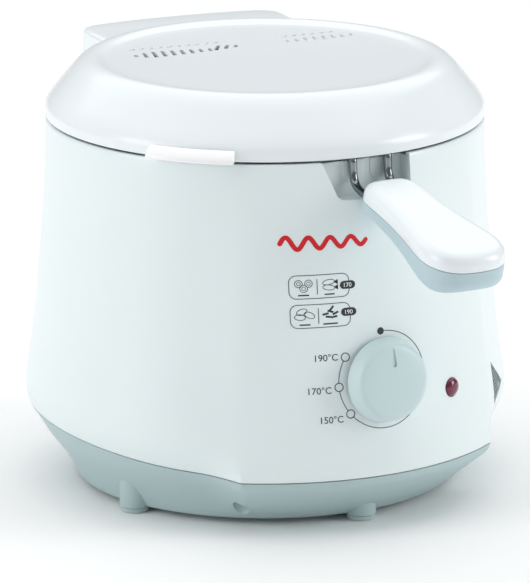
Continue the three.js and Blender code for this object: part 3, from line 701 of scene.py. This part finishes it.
def vent_slots():
    """Cutters for the slots: leaf-shaped fans either side of the middle, the fainter ones shallow."""
    through, shallow = 215, 227.7
    fans = ((-61, 33, -12, through, (2.6, 5.6, 7, 6.6, 6, 5.4, 4.8, 3.8, 3.2)),
            (-12.4, 36, -30, through, (6, 4.6, 3)),
            (-57.5, 47.5, -58, shallow, (2.8,) * 10),
            (32, 46.5, -58, shallow, (2.4,) * 6),
            (29, 35.5, -12, shallow, (2.6, 3.8, 4.8, 5.2, 5, 4.2, 3.2, 2.4)))
    cutters = []
    for x, y, lean, down, halves in fans:
        for i, half in enumerate(halves):
            cutter = brick(-1.15, 1.15, -half, half, down, 240)
            rounded(cutter, [e for e in cutter.edges if abs(e.verts[0].co.z - e.verts[1].co.z) > 1], 0.9, 3)
            cutter.transform(Matrix.Translation((x + 5.4 * i, y, 0)) @ Matrix.Rotation(
                math.radians(lean), 4, "Z"))
            cutters.append(cutter)
    return joined(*cutters)


def lip():
    """The lid's opening lip: a short swept ledge whose ends are rounded off."""
    bm = bmesh.new()
    line = [(118.5, 206.7), (119.5, 206.5), (121.2, 205.7), (123, 204.2), (124.3, 202.5), (124.75, 201.4),
            (124.5, 200.6), (123.6, 200.25), (122, 200.35), (118.7, 200.7)]
    verts = [bm.verts.new((0, -r, z)) for r, z in line]
    edges = [bm.edges.new(pair) for pair in zip(verts, verts[1:] + verts[:1])]
    half = math.radians(11.3)
    bmesh.ops.spin(bm, geom=verts + edges, cent=(0, 0, 0), axis=(0, 0, 1), angle=2 * half, steps=24)
    bmesh.ops.remove_doubles(bm, verts=bm.verts, dist=0.002)
    ends = bmesh.ops.holes_fill(bm, edges=bm.edges, sides=20)
    bmesh.ops.recalc_face_normals(bm, faces=bm.faces)
    rounded(bm, [e for face in ends["faces"] for e in face.edges], 1.6, 5)
    bmesh.ops.rotate(bm, cent=(0, 0, 0), matrix=Matrix.Rotation(math.radians(-42.4) - half, 3, "Z"),
                     verts=bm.verts)
    return bm


class FRYER_OT_hinge(bpy.types.Operator):
    """Build the hinge cover on the lid, and the bracket, pin and screws behind it"""
    bl_idname = "fryer.hinge"
    bl_label = "Hinge"

    def execute(self, context):
        half = [(59, 84), (59, 111), (58.4, 115.6), (56.4, 119.4), (53.2, 122), (49, 123.8), (43, 125.1),
                (30, 126.8), (18, 127.7), (6, 128)]
        bm = slab(half + [(-x, y) for x, y in reversed(half)], 21.4, 206.1)
        rounded(bm, edges_at(bm, 227.5), 2.2, 6)
        rounded(bm, edges_at(bm, 206.1), 0.8, 2)
        plug = spun([(0, 150), (118.35, 150), (118.35, 205.4), (117.2, 208.5), (112.3, 214.95),
                     (103.8, 225), (100.6, 228.3), (95.9, 231.1), (89, 232), (89, 260), (0, 260)], 160)
        gap = brick(-24.6, 24.6, 100, 140, 200, 219.6)
        bore = peg(2.6, -38.4, 38.4, 24, Matrix.Translation((0, PIN_Y, PIN_Z)) @ Matrix.Rotation(
            math.pi / 2, 4, "Y"))
        cover = carved(bm, plug, gap, bore)
        finish_piece("hinge_housing", cover, "lid", "white_lid", ["hinge_cover"], TURNED, tidy=False,
                     sharp=35)
        finish_piece("hinge_arm", refined("hinge_bracket", 0.5), "body", "white_body", ["hinge_bracket"],
                     tidy=False)
        pin = spun([(0, -37.6), (2.1, -37.6), (2.5, -37.1), (2.5, 37.1), (2.1, 37.6), (0, 37.6)], 32)
        finish_piece("hinge_rod", pin, "body", "zinc_steel", ["hinge_pin"], TURNED @ Matrix.Translation(
            (0, PIN_Y, PIN_Z)) @ Matrix.Rotation(math.pi / 2, 4, "Y"))
        for i, x in enumerate(BRACKET_SCREW_XS):
            screw = cross_screw(3.4, -128.35, -126.3, 1.5, -110)
            finish_piece(f"bracket_screw_{i + 1}", screw, "body", "zinc_steel", [f"hinge_screw_{i + 1}"],
                         TURNED @ Matrix.Translation((x, 0, 186)) @ Matrix.Rotation(math.pi / 2, 4, "X"))
        return {"FINISHED"}


class FRYER_OT_bowl(bpy.types.Operator):
    """Build the coated oil bowl"""
    bl_idname = "fryer.bowl"
    bl_label = "Bowl"

    def execute(self, context):
        bm = spun([(0, 88), (78, 88), (84, 88.6), (89, 90.8), (92.4, 94.6), (94, 99), (94.5, 105),
                   (94.5, 192.8), (105.4, 192.8), (106, 193.1), (106, 193.7), (105.5, FLANGE_TOP),
                   (94.6, FLANGE_TOP), (93.7, 193.8), (93.2, 193), (93.2, 105.2), (92.8, 99.6), (91.2, 95.2),
                   (88.2, 91.9), (83.6, 89.9), (77.8, 89.3), (30, 89.3), (28, 89.9), (26, 89.9),
                   (0, 89.9)], 112)
        finish_piece("bowl_shell", bm, "body", "bowl_coating", ["oil_bowl"])
        return {"FINISHED"}


class FRYER_OT_basket(bpy.types.Operator):
    """Build the wire mesh basket and its rim"""
    bl_idname = "fryer.basket"
    bl_label = "Basket"

    def execute(self, context):
        line = [(6, 97.7), (16, 97.7), (26, 97.7), (36, 97.7), (46, 97.7), (56, 97.7), (66, 97.7), (73, 98.2),
                (77.4, 100.6), (79.3, 105)]
        line += [(79.3 + 4.1 * t / 16, 105 + 80.4 * t / 16) for t in range(1, 17)]
        bm = bmesh.new()
        verts = [bm.verts.new((r, 0, z)) for r, z in line]
        edges = [bm.edges.new(pair) for pair in zip(verts, verts[1:])]
        bmesh.ops.spin(bm, geom=verts + edges, cent=(0, 0, 0), axis=(0, 0, 1), angle=2 * math.pi, steps=84,
                       use_merge=True)
        bmesh.ops.remove_doubles(bm, verts=bm.verts, dist=0.002)
        bmesh.ops.wireframe(bm, faces=bm.faces, thickness=0.9, use_replace=True, use_boundary=True,
                            use_even_offset=True)
        finish_piece("basket_mesh", bm, "basket", "chrome_wire", ["basket"], sharp=60)
        ring = spun([(83.4 + 2 * math.cos(a), 188.3 + 2 * math.sin(a))
                     for a in (math.tau * i / 14 for i in range(14))], 96)
        finish_piece("rim_ring", ring, "basket", "chrome_wire", ["basket_rim_wire"])
        return {"FINISHED"}


def seam_height(y):
    return HANDLE_Z - (-y - HANDLE_ROOT) * math.tan(HANDLE_LEAN)


class FRYER_OT_handle(bpy.types.Operator):
    """Build the handle: two bent wires between a white top shell and a grey lower shell"""
    bl_idname = "fryer.handle"
    bl_label = "Handle"

    def execute(self, context):
        for i, x in enumerate(WIRE_XS):
            path = [(x, -76, 150), (x, -76.8, 168), (x, -77.6, 186), (x, -78.6, 194.2), (x, -81, 198.4),
                    (x, -86, 200.05), (x, -95, 200.2), (x, -104, 200.2), (x, -108.4, 200.1),
                    (x, -110.7, 199), (x, -110.9, 196), (x, -111.1, 191.4), (x, -111.9, 188),
                    (x, -114, 185.2), (x, -118, 183.1),
                    *[(x, y, seam_height(y)) for y in (-124, -135, -150, -160, -168)]]
            finish_piece(f"handle_wire_{i + 1}", sweep(path, mm(shape().rod_radius)), "basket", "chrome_wire",
                         [f"handle_rod_{i + 1}"], sharp=50)
        finish_piece("handle_cap", handle_top(), "basket", "white_lid", ["handle_top"], HANDLE_PLACE,
                     tidy=False, sharp=50)
        finish_piece("handle_tray", handle_tray(), "basket", "grey_handle", ["handle_bottom"], HANDLE_PLACE,
                     tidy=False, sharp=50)
        for i, along in enumerate(GRIP_SCREWS):
            finish_piece(f"grip_screw_{i + 1}", cross_screw(3.1, -4.9, -2.9, 1.3, 3.4), "basket",
                         "zinc_steel", [f"handle_screw_{i + 1}"],
                         HANDLE_PLACE @ Matrix.Translation((0, -along, 0)))
        return {"FINISHED"}


def handle_outline():
    """The grip's plan: rounded at the root, widening to a broad rounded tip."""
    right = [(0, 12.7), (5, 12.8), (9.6, 13.6), (13, 16.2), (15.2, 20.6), (16, 27), (16.2, 36), (16.8, 48),
             (18, 60), (19.7, 72), (21.5, 82), (22.5, 89), (22.6, 94), (21.6, 100), (18.9, 105.6),
             (14.6, 109.6), (8.8, 112), (0, 112.8)]
    left = [(-x, y) for x, y in reversed(right[1:-1])]
    points = [Vector((x, -y, 0)) for x, y in right + left]
    smooth = []
    total = len(points)
    for i in range(total):
        p0, p1, p2, p3 = (points[(i + k) % total] for k in (-1, 0, 1, 2))
        for t in (0, 1 / 3, 2 / 3):
            smooth.append(0.5 * ((2 * p1) + (p2 - p0) * t + (2 * p0 - 5 * p1 + 4 * p2 - p3) * t * t
                                 + (3 * p1 - p0 - 3 * p2 + p3) * t ** 3))
    return [(p.x, p.y) for p in smooth]


def rod_channels():
    return [peg(mm(shape().rod_radius) + 0.3, 5, 61, 24, Matrix.Translation((x, 0, 0)) @ Matrix.Rotation(
        math.pi / 2, 4, "X")) for x in WIRE_XS]


def handle_top():
    bm = slab(handle_outline(), 8.8, 0.2)
    rounded(bm, edges_at(bm, 9.0), 6.2, 10)
    return carved(bm, *rod_channels(),
                  *[peg(1.6, -5, 4, 16, Matrix.Translation((0, -a, 0))) for a in GRIP_SCREWS])


def handle_tray():
    bm = slab(handle_outline(), 9.8, -10.0)
    rounded(bm, edges_at(bm, -10.0), 4.8, 8)
    for vert in bm.verts:
        along = -vert.co.y
        deep = 6 + 8 * min(1, max(0, (along - 14) / 84)) ** 1.15
        if along > 98:
            deep *= 1 - 0.3 * ((along - 98) / 15) ** 2
        vert.co.z = -0.2 + (vert.co.z + 0.2) * deep / 9.8
    return carved(bm, *rod_channels(),
                  *[peg(1.6, -15, 2, 16, Matrix.Translation((0, -a, 0))) for a in GRIP_SCREWS],
                  *[peg(3.5, -15, -2.6, 32, Matrix.Translation((0, -a, 0))) for a in GRIP_SCREWS])


class FRYER_OT_dial(bpy.types.Operator):
    """Build the thermostat knob, its shaft and the pilot light"""
    bl_idname = "fryer.dial"
    bl_label = "Dial"

    def execute(self, context):
        r = mm(shape().knob_radius)
        knob = spun([(0, 9), (3.3, 9), (3.3, 1), (6, 1), (6, 9.6), (17.2, 9.6), (20, 0.9), (r - 0.4, 0.9),
                     (r, 1.3), (r, 2.2), (r - 0.5, 4.4), (r - 1.2, 7.2), (r - 1.9, 9.2), (r - 2.7, 10.4),
                     (r - 3.9, 11.2), (r - 5.4, 11.65), (12, 12), (6, 12.3), (0, 12.4)], 120)
        tear = [(0, 18.6), (0.45, 16.6), (0.85, 13.6), (1.15, 10.8), (1.2, 9.6), (0.9, 8.6), (0.35, 8.15),
                (-0.35, 8.15), (-0.9, 8.6), (-1.2, 9.6), (-1.15, 10.8), (-0.85, 13.6), (-0.45, 16.6)]
        groove = slab(tear, 6, 11.1)
        finish_piece("dial_knob", carved(knob, groove), "knob", "knob_plastic", ["knob"], KNOB_PLACE,
                     tidy=False, sharp=40)
        shaft = spun([(0, -14), (3, -14), (3, 8), (2.6, 8.6), (0, 8.6)], 32)
        finish_piece("dial_shaft", shaft, "knob", "zinc_steel", ["thermostat_shaft"], KNOB_PLACE)
        lens = spun([(0, 122), (4.95, 122), (4.95, 130.3), (4.75, 130.8), (4.1, 131.5), (2.8, 132.1),
                     (1.4, 132.35), (0, 132.4)], 48)
        place = (Matrix.Rotation(math.radians(PILOT_ANGLE), 4, "Z") @ Matrix.Translation((0, 0, PILOT_Z))
                 @ Matrix.Rotation(math.pi / 2, 4, "X"))
        finish_piece("pilot_window", lens, "body", "pilot_red", ["pilot_lens"], place)
        return {"FINISHED"}


def ribbon(bm, points, width, closed=False):
    """A flat strip of even width along (x, z) points, in steps short enough to lie on the panel."""
    fine = []
    for (x0, z0), (x1, z1) in zip(points, points[1:] + (points[:1] if closed else points[-1:])):
        pieces = max(1, math.ceil(math.hypot(x1 - x0, z1 - z0) / 1.2))
        fine += [(x0 + (x1 - x0) * k / pieces, z0 + (z1 - z0) * k / pieces) for k in range(pieces)]
    points = fine
    count = len(points)
    sides = ([], [])
    for i, (x, z) in enumerate(points):
        before = points[i - 1] if closed or i else points[0]
        after = points[(i + 1) % count] if closed or i < count - 1 else points[-1]
        along = Vector((after[0] - before[0], after[1] - before[1])).normalized()
        for side, sign in zip(sides, (0.5, -0.5)):
            side.append(bm.verts.new((x - along.y * width * sign, 0, z + along.x * width * sign)))
    edges = []
    for side in sides:
        pairs = list(zip(side, side[1:])) + ([(side[-1], side[0])] if closed else [])
        edges += [bm.edges.new(pair) for pair in pairs]
    bmesh.ops.bridge_loops(bm, edges=edges)


def arc(cx, cz, radius, start, end, steps):
    angles = [math.radians(start + (end - start) * i / steps) for i in range(steps + 1)]
    return [(cx + radius * math.cos(a), cz + radius * math.sin(a)) for a in angles]


def disc(bm, cx, cz, radius):
    place = Matrix.Translation((cx, 0, cz)) @ Matrix.Rotation(math.pi / 2, 4, "X")
    bmesh.ops.create_circle(bm, cap_ends=True, segments=24, radius=radius, matrix=place)


def ring(bm, cx, cz, rx, width, rz=None, lean=0.0):
    rz = rz or rx
    c, s = math.cos(math.radians(lean)), math.sin(math.radians(lean))
    ribbon(bm, [(cx + rx * math.cos(a) * c - rz * math.sin(a) * s,
                 cz + rx * math.cos(a) * s + rz * math.sin(a) * c)
                for a in (math.tau * i / 28 for i in range(28))], width, closed=True)


def lettering(bm, text, x, z, size):
    """Numbers set flat, their left end at x and their foot at z."""
    curve = bpy.data.curves.new("figures", "FONT")
    curve.body, curve.size = text, size
    holder = bpy.data.objects.new("figures", curve)
    bpy.context.scene.collection.objects.link(holder)
    mesh = bpy.data.meshes.new_from_object(holder.evaluated_get(bpy.context.evaluated_depsgraph_get()))
    bpy.data.objects.remove(holder)
    bpy.data.curves.remove(curve)
    mesh.transform(Matrix.Translation((x, 0, z)) @ Matrix.Rotation(math.pi / 2, 4, "X"))
    bm.from_mesh(mesh)
    bpy.data.meshes.remove(mesh)


def printed(name, bm, look, lift=0.03, thick=0.05):
    """Lays flat marks on the curved panel as a thin film of ink."""
    bmesh.ops.remove_doubles(bm, verts=bm.verts, dist=0.002)
    bmesh.ops.dissolve_degenerate(bm, dist=0.001, edges=bm.edges)
    grown = bmesh.ops.extrude_face_region(bm, geom=bm.faces[:])
    raised = {g for g in grown["geom"] if isinstance(g, bmesh.types.BMVert)}
    for vert in bm.verts:
        x, z = vert.co.x, vert.co.z
        out = lift + (thick if vert in raised else 0)
        vert.co.y = -math.sqrt(panel_radius(z) ** 2 - x * x) - out
    bmesh.ops.recalc_face_normals(bm, faces=bm.faces)
    return finish_piece(name, bm, "body", look, sharp=20, tidy=False)


def rounded_box(cx, cz, half_w, half_h, radius):
    corners = ((half_w, half_h, 0), (-half_w, half_h, 90), (-half_w, -half_h, 180), (half_w, -half_h, 270))
    points = []
    for w, h, start in corners:
        points += arc(cx + w - math.copysign(radius, w), cz + h - math.copysign(radius, h), radius, start,
                      start + 90, 6)
    return points


class FRYER_OT_printing(bpy.types.Operator):
    """Print the dial marks, the plain food pictures and a plain coloured emblem on the panel"""
    bl_idname = "fryer.printing"
    bl_label = "Panel printing"

    def execute(self, context):
        ink = bmesh.new()
        radius = mm(shape().dial_radius)
        centre = KNOB_X
        marks = (("190°C", 146.8, 1.1), ("170°C", 183.4, -0.6), ("150°C", 219, -1.6))
        gap = 5.4
        stops = [a for _, a, _ in marks] + [452.0]
        for a, b in zip(stops, stops[1:]):
            end = b - (gap if b < 400 else 3)
            ribbon(ink, arc(centre, DIAL_Z, radius, a + gap, end, max(6, int((b - a) / 4))), 0.4)
        for text, a, up in marks:
            x = centre + radius * math.cos(math.radians(a))
            z = DIAL_Z + radius * math.sin(math.radians(a))
            ring(ink, x, z, 2.2, 0.45)
            lettering(ink, text, x - 16.9, z - 2.4 + up, 5.0)
        disc(ink, centre + radius * math.cos(math.radians(92)), DIAL_Z + radius, 1.95)
        for cz in (135.2, 119.8):
            box_line = rounded_box(-34.9, cz, 15.4, 6.1, 3.6)
            ribbon(ink, box_line, 0.36, closed=True)
            ribbon(ink, [(-36.3, cz - 4), (-36.3, cz + 4)], 0.36)
        for cx, cz in ((-45.6, 137), (-40.6, 137), (-43.1, 134.4)):
            ring(ink, cx, cz, 1.9, 0.3)
            ring(ink, cx, cz, 0.9, 0.24)
        for cz, lean in ((137.2, 8), (134.4, -8)):
            ring(ink, -30.3, cz, 3.1, 0.32, 1.35, lean)
            ribbon(ink, [(-27.4, cz), (-25.6, cz + 1.2), (-25.6, cz - 1.2), (-27.4, cz)], 0.32)
        for cx, cz, lean in ((-44.6, 122.2, 20), (-45.6, 119.4, -5), (-40.8, 120.4, -25)):
            ring(ink, cx, cz, 2.7, 0.32, 1.5, lean)
        for i, (dx, dz, lean) in enumerate(((-2.6, 0, 12), (0, 1.2, -18), (2.6, 0.2, 25), (-1, -1.6, -8),
                                            (1.9, -1.7, 10), (0.6, 2.8, 50))):
            a = math.radians(lean)
            ribbon(ink, [(-30 + dx - 1.6 * math.cos(a), 120.6 + dz - 1.6 * math.sin(a)),
                         (-30 + dx + 1.6 * math.cos(a), 120.6 + dz + 1.6 * math.sin(a))], 1.0)
        for x0, x1, z in ((-46, -40.6, 130.9), (-32.6, -27.4, 130.9), (-46, -40.6, 115.4),
                          (-34, -26.4, 115.4)):
            ribbon(ink, [(x0, z), (x1, z)], 0.7)
        printed("panel_marks", ink, "ink")
        pills = bmesh.new()
        for cz in (135.1, 120.9):
            ribbon(pills, [(-22.4, cz), (-18.1, cz)], 4.2)
            disc(pills, -22.3, cz, 2.1)
            disc(pills, -18.2, cz, 2.1)
        printed("panel_pills", pills, "ink", 0.1)
        numbers = bmesh.new()
        for cz, text in ((135.1, "170"), (120.9, "190")):
            lettering(numbers, text, -22.9, cz - 1.1, 3.2)
        printed("pill_numbers", numbers, "white_tab", 0.17, 0.04)
        emblem = bmesh.new()
        wave = [(-53.5 + 44.5 * t / 72, 158.2 - 0.4 * t / 72 + 3.4 * (1 - 0.35 * t / 72)
                 * math.sin(math.tau * 4 * t / 72)) for t in range(73)]
        ribbon(emblem, wave, 2.4)
        for end in (wave[0], wave[-1]):
            disc(emblem, *end, 1.2)
        printed("panel_emblem", emblem, "emblem_ink")
        return {"FINISHED"}


class FRYER_OT_side_vent(bpy.types.Operator):
    """Build the slatted vent in the right side"""
    bl_idname = "fryer.side_vent"
    bl_label = "Side vent"

    def execute(self, context):
        back = carved(skin_band(1.2, 2.3), vent_cutter(0.35), mode="INTERSECT")
        finish_piece("vent_screen", back, "body", "dark_plastic", ["vent_grille"], tidy=False)
        facing = Matrix.Rotation(math.radians(VENT_ANGLE), 4, "Z") @ Matrix.Translation((0, -125, 59))
        directions = []
        for lean in (38, -38):
            bars = [brick(2.6 * i - 0.35, 2.6 * i + 0.35, -20, 20, -26, 26) for i in range(-7, 8)]
            directions.append(joined(*bars))
            directions[-1].transform(facing @ Matrix.Rotation(math.radians(lean), 4, "Y"))
        mesh = carved(*directions, mode="UNION")
        lattice = carved(skin_band(0.5, 1.1), vent_cutter(0.6), mesh, mode="INTERSECT")
        finish_piece("vent_lattice", lattice, "body", "vent_grey", tidy=False)
        return {"FINISHED"}


def skin_band(outer, inner):
    """A thin shell following the skin round the side vent, between two depths under it."""
    levels = (44, 50, 56, 62, 68, 75)
    band = spun([(smooth_lookup(SIDE_RADII, z) - inner, z) for z in reversed(levels)]
                + [(smooth_lookup(SIDE_RADII, z) - outer, z) for z in levels], 144)
    wrap_to_skin(band, lambda z, line: z, lambda radius: 1)
    return band


class FRYER_OT_inner_parts(bpy.types.Operator):
    """Give every hidden and small frame part its own finish"""
    bl_idname = "fryer.inner_parts"
    bl_label = "Inner parts"

    def execute(self, context):
        slots = {entry["node"]: entry["material_slot"] for entry in frame["record"]["subparts"]}
        for node, thing in frame["nodes"].items():
            for place in thing.material_slots:
                place.link = "DATA"
                place.material = frame["looks"][slots[node]]
        inlet = spun([(3.8, -131.6), (7.9, -131.6), (8.7, -131.3), (9, -130.7), (9, -129.8), (7, -129.6),
                      (7, -115), (3.8, -115)][::-1], 48)
        finish_piece("inlet_bush", inlet, "body", "dark_plastic", ["cord_gland"],
                     Matrix.Translation((0, 0, INLET_Z)) @ Matrix.Rotation(math.pi / 2, 4, "X"))
        pad = brick(-68, 76, 16, 54, 212, 222)
        rounded(pad, list(pad.edges), 2.5, 4)
        finish_piece("filter_block", pad, "lid", "filter_fibre", ["filter_pad"], TURNED)
        return {"FINISHED"}


class FRYER_OT_stage(bpy.types.Operator):
    """Set the floor, the soft lights and the camera"""
    bl_idname = "fryer.stage"
    bl_label = "Stage"

    def execute(self, context):
        scene, s = context.scene, context.scene.fryer_stage
        bm = bmesh.new()
        bmesh.ops.create_grid(bm, x_segments=8, y_segments=8, size=7)
        mesh = bpy.data.meshes.new("floor")
        bm.to_mesh(mesh)
        bm.free()
        floor = bpy.data.objects.new("floor", mesh)
        material, shader = node_material("pale floor", (0.985, 0.985, 0.985), 0.75, specular=0.1)
        tint(material, shader, noise(material, 3, 2), (0.985, 0.985, 0.985), 0.004)
        mesh.materials.append(material)
        scene.collection.objects.link(floor)
        world = bpy.data.worlds.new("surroundings")
        scene.world = world
        world.use_nodes = True
        world.node_tree.nodes["Background"].inputs["Color"].default_value = (0.97, 0.985, 1, 1)
        world.node_tree.nodes["Background"].inputs["Strength"].default_value = s.fill
        centre = Vector((0, AXIS_Y * MM, 0.12))
        for name, power, size, place in (
                ("left softbox", s.key, (1.3, 1.6), (-2.3, 0.2, 1.0)),
                ("right softbox", s.rim, (1.1, 1.6), (2.0, -1.6, 1.0)),
                ("top softbox", s.top, (5.0, 5.0), (0.2, 0.7, 2.5))):
            lamp = bpy.data.lights.new(name, "AREA")
            lamp.shape, lamp.size, lamp.size_y, lamp.energy = "RECTANGLE", size[0], size[1], power
            holder = bpy.data.objects.new(name, lamp)
            holder.location = Vector(place)
            holder.rotation_euler = (centre - Vector(place)).to_track_quat("-Z", "Y").to_euler()
            scene.collection.objects.link(holder)
        camera = bpy.data.cameras.new("camera")
        camera.lens, camera.sensor_width, camera.clip_end = s.lens, 36, 100
        holder = bpy.data.objects.new("camera", camera)
        holder.location = (-s.distance * math.sin(s.azimuth), AXIS_Y * MM - s.distance * math.cos(s.azimuth),
                           s.height)
        holder.rotation_euler = (math.pi / 2 - s.pitch, 0, -s.azimuth)
        scene.collection.objects.link(holder)
        scene.camera = holder
        scene.view_settings.view_transform = "Standard"
        return {"FINISHED"}


class FRYER_PT_sidebar(bpy.types.Panel):
    """Lists the fryer's pieces and settings"""
    bl_label = "Deep Fryer"
    bl_idname = "FRYER_PT_sidebar"
    bl_space_type = "VIEW_3D"
    bl_region_type = "UI"
    bl_category = "Fryer"

    def draw(self, context):
        for operator in OPERATORS:
            self.layout.operator(operator.bl_idname)
        for group in (context.scene.fryer_shape, context.scene.fryer_colours, context.scene.fryer_stage):
            box = self.layout.box()
            for name in group.__annotations__:
                box.prop(group, name)


OPERATORS = (FRYER_OT_casing, FRYER_OT_base, FRYER_OT_lid, FRYER_OT_hinge, FRYER_OT_bowl, FRYER_OT_basket,
             FRYER_OT_handle, FRYER_OT_dial, FRYER_OT_printing, FRYER_OT_side_vent, FRYER_OT_inner_parts,
             FRYER_OT_stage)
CLASSES = (FryerShape, FryerColours, FryerStage, *OPERATORS, FRYER_PT_sidebar)


def register():
    for cls in CLASSES:
        bpy.utils.register_class(cls)
    bpy.types.Scene.fryer_shape = PointerProperty(type=FryerShape)
    bpy.types.Scene.fryer_colours = PointerProperty(type=FryerColours)
    bpy.types.Scene.fryer_stage = PointerProperty(type=FryerStage)


def unregister():
    del bpy.types.Scene.fryer_shape
    del bpy.types.Scene.fryer_colours
    del bpy.types.Scene.fryer_stage
    for cls in reversed(CLASSES):
        bpy.utils.unregister_class(cls)


def main():
    register()
    make_materials()
    for operator in OPERATORS:
        group, name = operator.bl_idname.split(".")
        if getattr(getattr(bpy.ops, group), name)() != {"FINISHED"}:
            raise RuntimeError(f"{operator.bl_label} could not be built")


if __name__ == "__main__":
    main()
